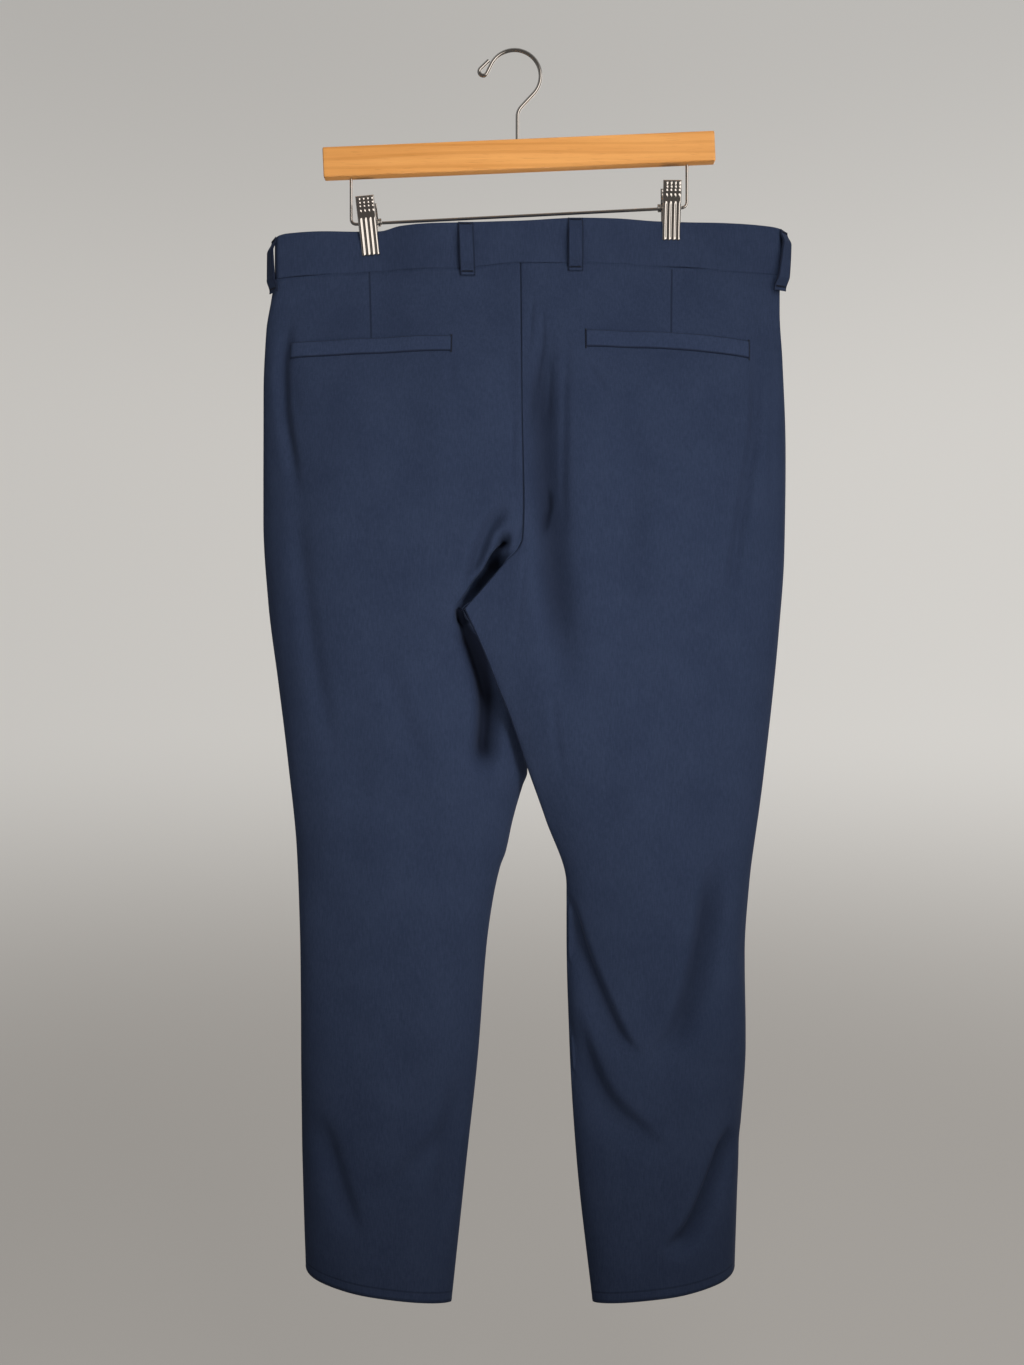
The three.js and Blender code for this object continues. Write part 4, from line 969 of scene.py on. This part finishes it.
strip = {"wall": 0.7, "lift": 1.0, "edge": 1.6, "stitchLift": 1.05}
slant = {  # its edge slants from the band out to the side seam
    "top": -240, "bottom": -392, "fromSide": 62, "fromSideLow": 11, "sweep": 0.8, "width": 9,
    "flat": (0.011, 0.165), "grid": (16, 90), "stitchAt": 0.33, "stitched": (0.03, 0.97, 80),
}
fly = {
    "top": -231, "bottom": -392, "width": 36, "turnFrom": 0.72, "turn": 0.9,
    "flat": (0.042, 0.166), "grid": (30, 110), "stitchAt": 0.09, "stitched": (0.01, 0.985, 90),
}


# A strip on a front panel with a line of stitches down it; at gives x and z from the shares across and down.
def frontStrip(name, stitchName, side, at, sizes):
    columns, rows = sizes["grid"]
    s, t = np.meshgrid(np.linspace(0, 1, columns), np.linspace(0, 1, rows))
    x, z = at(s, t)
    edge = np.minimum.reduce([s * columns, (1 - s) * columns, t * rows, (1 - t) * rows])
    lift = strip["lift"] - strip["edge"] * (1 - smooth(edge / strip["edge"]))
    out = (0, faceWay["front"], 0)
    piece = makeGrid(name + "_cloth", onSkin("front", side, x, z, lift), twill, strip["wall"], out)
    settle(piece, "twill", name)
    t = np.linspace(*sizes["stitched"])
    x, z = at(np.full(len(t), sizes["stitchAt"]), t)
    stitchLine(stitchName, onSkin("front", side, x, z, strip["stitchLift"]), out)


def makePocketEdge(side):
    def at(s, t):
        z = slant["top"] + (slant["bottom"] - slant["top"]) * t
        low = (slant["fromSideLow"] - slant["fromSide"]) * t ** slant["sweep"]
        inward = slant["fromSide"] + low + slant["width"] * (1 - s)
        return along(cut["side"][side], 1, z) - sideWay[side] * inward, z
    frontStrip("pocket_edge_" + side, "pocket_stitch_" + side, side, at, slant)


def makeFly():
    def at(s, t):
        width = fly["width"]
        sweep = width * fly["turn"] * smooth((t - fly["turnFrom"]) / (1 - fly["turnFrom"])) * (1 - s)
        return -width + (width - 1) * s + sweep, fly["top"] + (fly["bottom"] - fly["top"]) * t
    frontStrip("fly", "fly_stitch", "left", at, fly)


for side in sideWay:
    makePocketEdge(side)
makeFly()
print("front pockets and fly made")

button = {
    "fromLap": 14, "lift": 0.3, "turns": 72, "dark": (0.012, 0.014, 0.022), "light": (0.035, 0.04, 0.055),
    "rings": [  # radius, height
        *[(radius, 2.3) for radius in (0, 1, 1.6, 2, 2.4, 2.8, 3.3)], (4, 2.32), (5, 2.4), (5.8, 2.6),
        (6.5, 2.9), (7.2, 3), (7.9, 2.85), (8.35, 2.4), (8.5, 1.6), (8.4, 0.8), (7.8, 0.2), (6, 0), (3, 0),
    ],
    "hole": 0.76, "holeDepth": 1.6, "holeRing": 2.3, "holed": (0.5, 3.6),
    "thread": 0.25, "threadLift": 2.35, "threadApart": 0.35,
}


def resinMaterial():
    material, shader = newMaterial("resin")
    swirl = shader.noise(shader.place((1, 1, 2.4)), 240, 3)
    colour = shader.mix(swirl, button["dark"], button["light"])
    shader.finish(Base_Color=colour, Roughness=0.28 + swirl * 0.12, Normal=shader.bump(swirl, 0.1, 0.0002),
                  Coat_Weight=0.2)
    return material


def makeButton():
    x = waistband["lapEnd"] - button["fromLap"]
    z = float(bandEdge(x, 1, True) + bandEdge(x, 2, True)) / 2
    y = float(bandHalf(x)) + button["lift"]
    turns, points = button["turns"], []
    quarters = [math.pi / 4 + math.pi / 2 * k for k in range(4)]
    holes = [(button["holeRing"] * math.cos(a), button["holeRing"] * math.sin(a)) for a in quarters]
    for radius, height in button["rings"]:
        for i in range(turns):
            angle = 2 * math.pi * i / turns
            px, pz, low = radius * math.cos(angle), radius * math.sin(angle), height
            if button["holed"][0] < radius < button["holed"][1]:
                for hx, hz in holes:
                    share = ((px - hx) ** 2 + (pz - hz) ** 2) / button["hole"] ** 2
                    low -= button["holeDepth"] * math.exp(-(share**2))
            points.append((x + px, y + low, z + pz))
    faces = gridFaces(len(button["rings"]), turns, closed=True)
    piece = makeMesh("waist_button_resin", points, faces, resinMaterial())
    runs = []
    for k, angle in enumerate(quarters[:2]):
        for offset in (-1, 0, 1):
            away = np.array([math.cos(angle), 0, math.sin(angle)]) * button["holeRing"]
            beside = np.array([-math.sin(angle), 0, math.cos(angle)]) * offset * button["threadApart"]
            middle = np.array([x, y + button["threadLift"] + button["thread"] * k, z]) + beside
            runs.append((middle - away, middle + away, (0, 1, 0)))
    stitches("button_thread", runs, button["thread"])
    settle(piece, "button", "waist_button")


makeButton()
print("button made")

chrome = {"colour": (0.80, 0.78, 0.75), "dull": 0.9, "rough": 0.07}
wood = {
    "pale": (0.76, 0.37, 0.115), "deep": (0.56, 0.235, 0.055), "pore": (0.34, 0.13, 0.03),
    "rough": 0.42, "coat": 0.25, "edge": 1.4, "edgeSteps": 7, "stations": 60,
}


def chromeMaterial():
    material, shader = newMaterial("chrome")
    cloud = shader.noise(shader.place(), 60, 3)
    scratch = shader.noise(shader.place((1, 1, 0.1)), 900, 2)
    shade = shader.mix(cloud, chrome["colour"], tuple(chrome["dull"] * c for c in chrome["colour"]))
    rough = chrome["rough"] + cloud * 0.05 + scratch * 0.04
    shader.finish(Base_Color=shade, Roughness=rough, Metallic=1.0, Normal=shader.bump(scratch, 0.05, 0.00005))
    return material


def woodMaterial():
    material, shader = newMaterial("wood")
    bend = shader.noise(shader.place((3, 3, 3)), 1.6, 2)
    rings = shader.noise(shader.place((0.9, 16, 16)), 5.5, 4, 0.6)
    figure = shader.step(rings + bend * 0.25, 0.38, 0.86)
    grain = {"Scale": 34, "Distortion": 13, "Detail": 3, "Detail Scale": 0.35}
    grain["Vector"] = shader.place((0.11, 1, 1))
    lines = shader.node("TexWave", {"bands_direction": "Z"}, grain, 1)
    pores = shader.step(shader.noise(shader.place((14, 330, 330)), 3.0, 3, 0.6), 0.56, 0.72)
    colour = shader.mix(figure * 0.55 + shader.step(lines, 0.66, 0.98) * 0.34, wood["pale"], wood["deep"])
    colour = shader.mix(pores * 0.35, colour, wood["pore"])
    shader.finish(Base_Color=colour, Roughness=wood["rough"] + pores * 0.15, Coat_Weight=wood["coat"],
                  Coat_Roughness=0.2, Normal=shader.bump(1 - pores, 0.15, 0.0002))
    return material


metal = chromeMaterial()
wires = {"hook": 1.9, "rod": 1.5, "stemX": 2, "seat": 12, "bend": 6, "bendSteps": 14}
hook = {
    "bendZ": -59, "bigX": -1, "big": 26, "bigArc": (-45, 152, 80),  # first and last angle, steps
    "smallX": -32.3, "smallZ": -19.6, "small": 4, "smallArc": (-33, -226, 36), "tip": (8.3, 0, 8),
}


def barAt(x):  # the height of the tilted bar's middle line
    return bar["z"] + (x - bar["x"]) * math.tan(bar["tilt"])


def rodAt(x):  # the height of the slanted rod
    (leftX, leftZ), (rightX, rightZ) = rodEnds["left"], rodEnds["right"]
    return leftZ + (x - leftX) * (rightZ - leftZ) / (rightX - leftX)


def makeWire(name, points, radius):
    data = bpy.data.curves.new(name, "CURVE")
    data.dimensions, data.bevel_depth, data.bevel_resolution = "3D", radius * mm, 6
    data.use_fill_caps = True
    spline = data.splines.new("POLY")
    spline.points.add(len(points) - 1)
    for point, at in zip(spline.points, points):
        point.co = (*(c * mm for c in at), 1)
    spline.use_smooth = True
    data.materials.append(metal)
    wire = bpy.data.objects.new(name, data)
    scene.collection.objects.link(wire)
    return wire


def bend(before, at, after):  # a rounded corner
    before, at, after = arrays(before, at, after)
    start = at + (before - at) / np.linalg.norm(before - at) * wires["bend"]
    end = at + (after - at) / np.linalg.norm(after - at) * wires["bend"]
    shares = np.linspace(0, 1, wires["bendSteps"])
    return [(1 - s) ** 2 * start + 2 * s * (1 - s) * at + s * s * end for s in shares]


def bow(x, z, radius, first, last, steps):
    angles = np.radians(np.linspace(first, last, steps))
    return [np.array([x + radius * math.cos(a), 0, z + radius * math.sin(a)]) for a in angles]


def makeHook():
    stem = wires["stemX"]
    start = np.array([stem, 0, barAt(stem) + bar["height"] / 2 - wires["seat"]])
    big = bow(hook["bigX"], wires["hook"] - hook["big"], hook["big"], *hook["bigArc"])
    small = bow(hook["smallX"], hook["smallZ"], hook["small"], *hook["smallArc"])
    corner = bend(start, (stem, 0, hook["bendZ"]), big[0])
    points = [start, *corner, *big, *small, small[-1] + hook["tip"]]
    settle(makeWire("hook_wire", points, wires["hook"]), "chrome", "hanger_hook")


def makeRod():
    ends = []
    for x, low in rodEnds.values():
        ends.append((np.array([x, 0, barAt(x) - bar["height"] / 2 + wires["seat"]]), np.array([x, 0, low])))
    (a, b), (d, c) = ends
    settle(makeWire("rod_wire", [a, *bend(a, b, c), *bend(b, c, d), d], wires["rod"]), "chrome", "hanger_rod")


def makeBoard():
    half, edge, tilt = np.array([bar["depth"] / 2, bar["height"] / 2]), wood["edge"], bar["tilt"]
    ring = []
    for k, (sy, sz) in enumerate(((1, -1), (1, 1), (-1, 1), (-1, -1))):
        for a in np.linspace(-math.pi / 2, 0, wood["edgeSteps"]):
            angle = a + k * math.pi / 2
            y = sy * (half[0] - edge) + edge * math.cos(angle)
            ring.append((y, sz * (half[1] - edge) + edge * math.sin(angle)))
    ring, reach = np.array(ring), bar["length"] / 2
    ends = []  # place along the bar, and how much smaller its section is there
    for a in np.linspace(math.pi / 2, 0, wood["edgeSteps"]):
        ends.append((-reach + edge * (1 - math.sin(a)), edge * (1 - math.cos(a))))
    inner = reach - edge - 4
    rows = ends + [(x, 0) for x in np.linspace(-inner, inner, wood["stations"])]
    rows += [(-x, smaller) for x, smaller in reversed(ends)]
    points = []
    for x, smaller in rows:
        for y, z in ring * (1 - smaller / half):
            placeX = bar["x"] + x * math.cos(tilt) - z * math.sin(tilt)
            points.append((placeX, y, bar["z"] + x * math.sin(tilt) + z * math.cos(tilt)))
    count = len(ring)
    faces = gridFaces(len(rows), count, closed=True)
    faces.append(tuple(range(count)))
    faces.append(tuple((len(rows) - 1) * count + k for k in reversed(range(count))))
    settle(makeMesh("bar_board", points, faces, woodMaterial()), "wood", "hanger_bar")


jawForm = {
    "profile": [(24, 11.5), (17, 11), (9, 8.4), (0, 6.6), (-12, 4.6), (-24, 3.1), (-33, 2.85)],
    "columns": 64, "rows": 170, "lip": 0.8, "lipDrop": 0.7,
    "flutes": 4, "fluteTop": 5, "fluteFade": 4, "fluteLow": 0.35, "fluteLowFade": 3.5,
    "tooth": 0.5, "toothReach": 3,
    "stud": 0.55, "studSize": 1.35, "studs": [-6.2, -2.1, 2.1, 6.2], "studRows": [21, 17.2, 13.4, 9.6],
    "ear": 3.7, "earForward": 1, "earWall": 1, "earInset": {"back": 0.6, "front": 2.1}, "earSteps": 20,
    "earEnds": (7, -9), "earInto": 0.4, "earEdge": 0.2,
}


def onClip(piece, side):  # hung on the rod, at the clip's own lean
    clip = clips[side]
    piece.location = Vector((clip["x"], 0, rodAt(clip["x"]))) * mm
    piece.rotation_euler = (0, -clip["lean"], 0)


def makeEar(name, depth, middle):
    form = jawForm
    high, low = [(float(along(form["profile"], 1, z)) + form["earInto"], z) for z in form["earEnds"]]
    outline = [high]
    for a in np.linspace(math.pi / 2, 3 * math.pi / 2, form["earSteps"]):
        outline.append((form["earForward"] + form["ear"] * math.cos(a), form["ear"] * math.sin(a)))
    outline.append(low)
    wall, n = form["earWall"] / 2, len(outline)
    points = [(middle + way, depth * y, z) for way in (-wall, wall) for y, z in outline]
    faces = [tuple(range(n))[::-1], tuple(range(n, 2 * n))]
    faces += [(k, (k + 1) % n, n + (k + 1) % n, n + k) for k in range(n)]
    ear = makeMesh(name, points, faces, metal)
    edge = ear.modifiers.new("edge", "BEVEL")
    edge.width, edge.segments, edge.limit_method = form["earEdge"] * mm, 2, "ANGLE"
    return ear


def makeJaw(side, face):
    form, depth, width, foot = jawForm, faceWay[face], jaw["width"], -jaw["down"]
    s, z = np.meshgrid(np.linspace(0, 1, form["columns"]), np.linspace(jaw["up"], foot, form["rows"]))
    x = (s - 0.5) * width
    y = along(form["profile"], 1, z) + jaw["plate"]
    flutes = np.cos(2 * math.pi * form["flutes"] * s)
    low = form["fluteLow"] + (1 - form["fluteLow"]) * smooth((z - foot) / form["fluteLowFade"])
    ends = smooth((form["fluteTop"] - z) / form["fluteFade"]) * low
    y += ends * jaw["flute"] * (0.5 - 0.5 * flutes) ** 0.8
    for sx in form["studs"]:
        for sz in form["studRows"]:
            y += form["stud"] * np.exp(-(((x - sx) ** 2 + (z - sz) ** 2) / form["studSize"] ** 2) ** 1.5)
    lip = np.minimum.reduce([s * width, (1 - s) * width, z - foot, jaw["up"] - z])
    y -= form["lipDrop"] * (1 - smooth(lip / form["lip"]))
    z = z + form["tooth"] * flutes * smooth(1 - (z - foot) / form["toothReach"])
    name = face + "_" + side
    grid = np.stack([x, depth * y, z], -1)
    plate = makeGrid("jaw_plate_" + name, grid, metal, jaw["plate"], (0, depth, 0))
    inset = width / 2 - form["earInset"][face] - form["earWall"] / 2
    ears = [makeEar("ear_" + name + "_" + end, depth, way * inset) for end, way in (("a", -1), ("b", 1))]
    for ear in ears:
        ear.parent = plate
    onClip(plate, side)
    settle(plate, "chrome", "jaw_" + name)
    for ear in ears:
        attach(ear, "root")


springForm = {
    "wire": 0.7, "turns": 2, "steps": 72, "from": 0.15, "past": 0.3, "apart": 0.12,
    "overRod": 0.35, "beside": 0.9, "leg": [(-6.5, 17), (-3.4, 3)],
}


def makeSpring(side):
    form, out = springForm, clips[side]["springSide"]
    radius = wires["rod"] + form["overRod"] + 2 * form["wire"]
    start, pitch = jaw["width"] / 2 + form["beside"], 2 * (form["wire"] + form["apart"])
    points = [(start * out, y, z) for y, z in form["leg"]]
    for i in range(form["steps"] + 1):
        share = i / form["steps"]
        angle = math.pi - (form["from"] - (form["turns"] + form["past"]) * share) * 2 * math.pi
        x = (start + share * form["turns"] * pitch) * out
        points.append((x, radius * math.cos(angle), radius * math.sin(angle)))
    spring = makeWire("spring_wire_" + side, points, form["wire"])
    onClip(spring, side)
    settle(spring, "chrome", "clip_spring_" + side)


makeHook()
makeRod()
makeBoard()
for side in clips:
    for face in ("back", "front"):
        makeJaw(side, face)
    makeSpring(side)
print("hanger made")
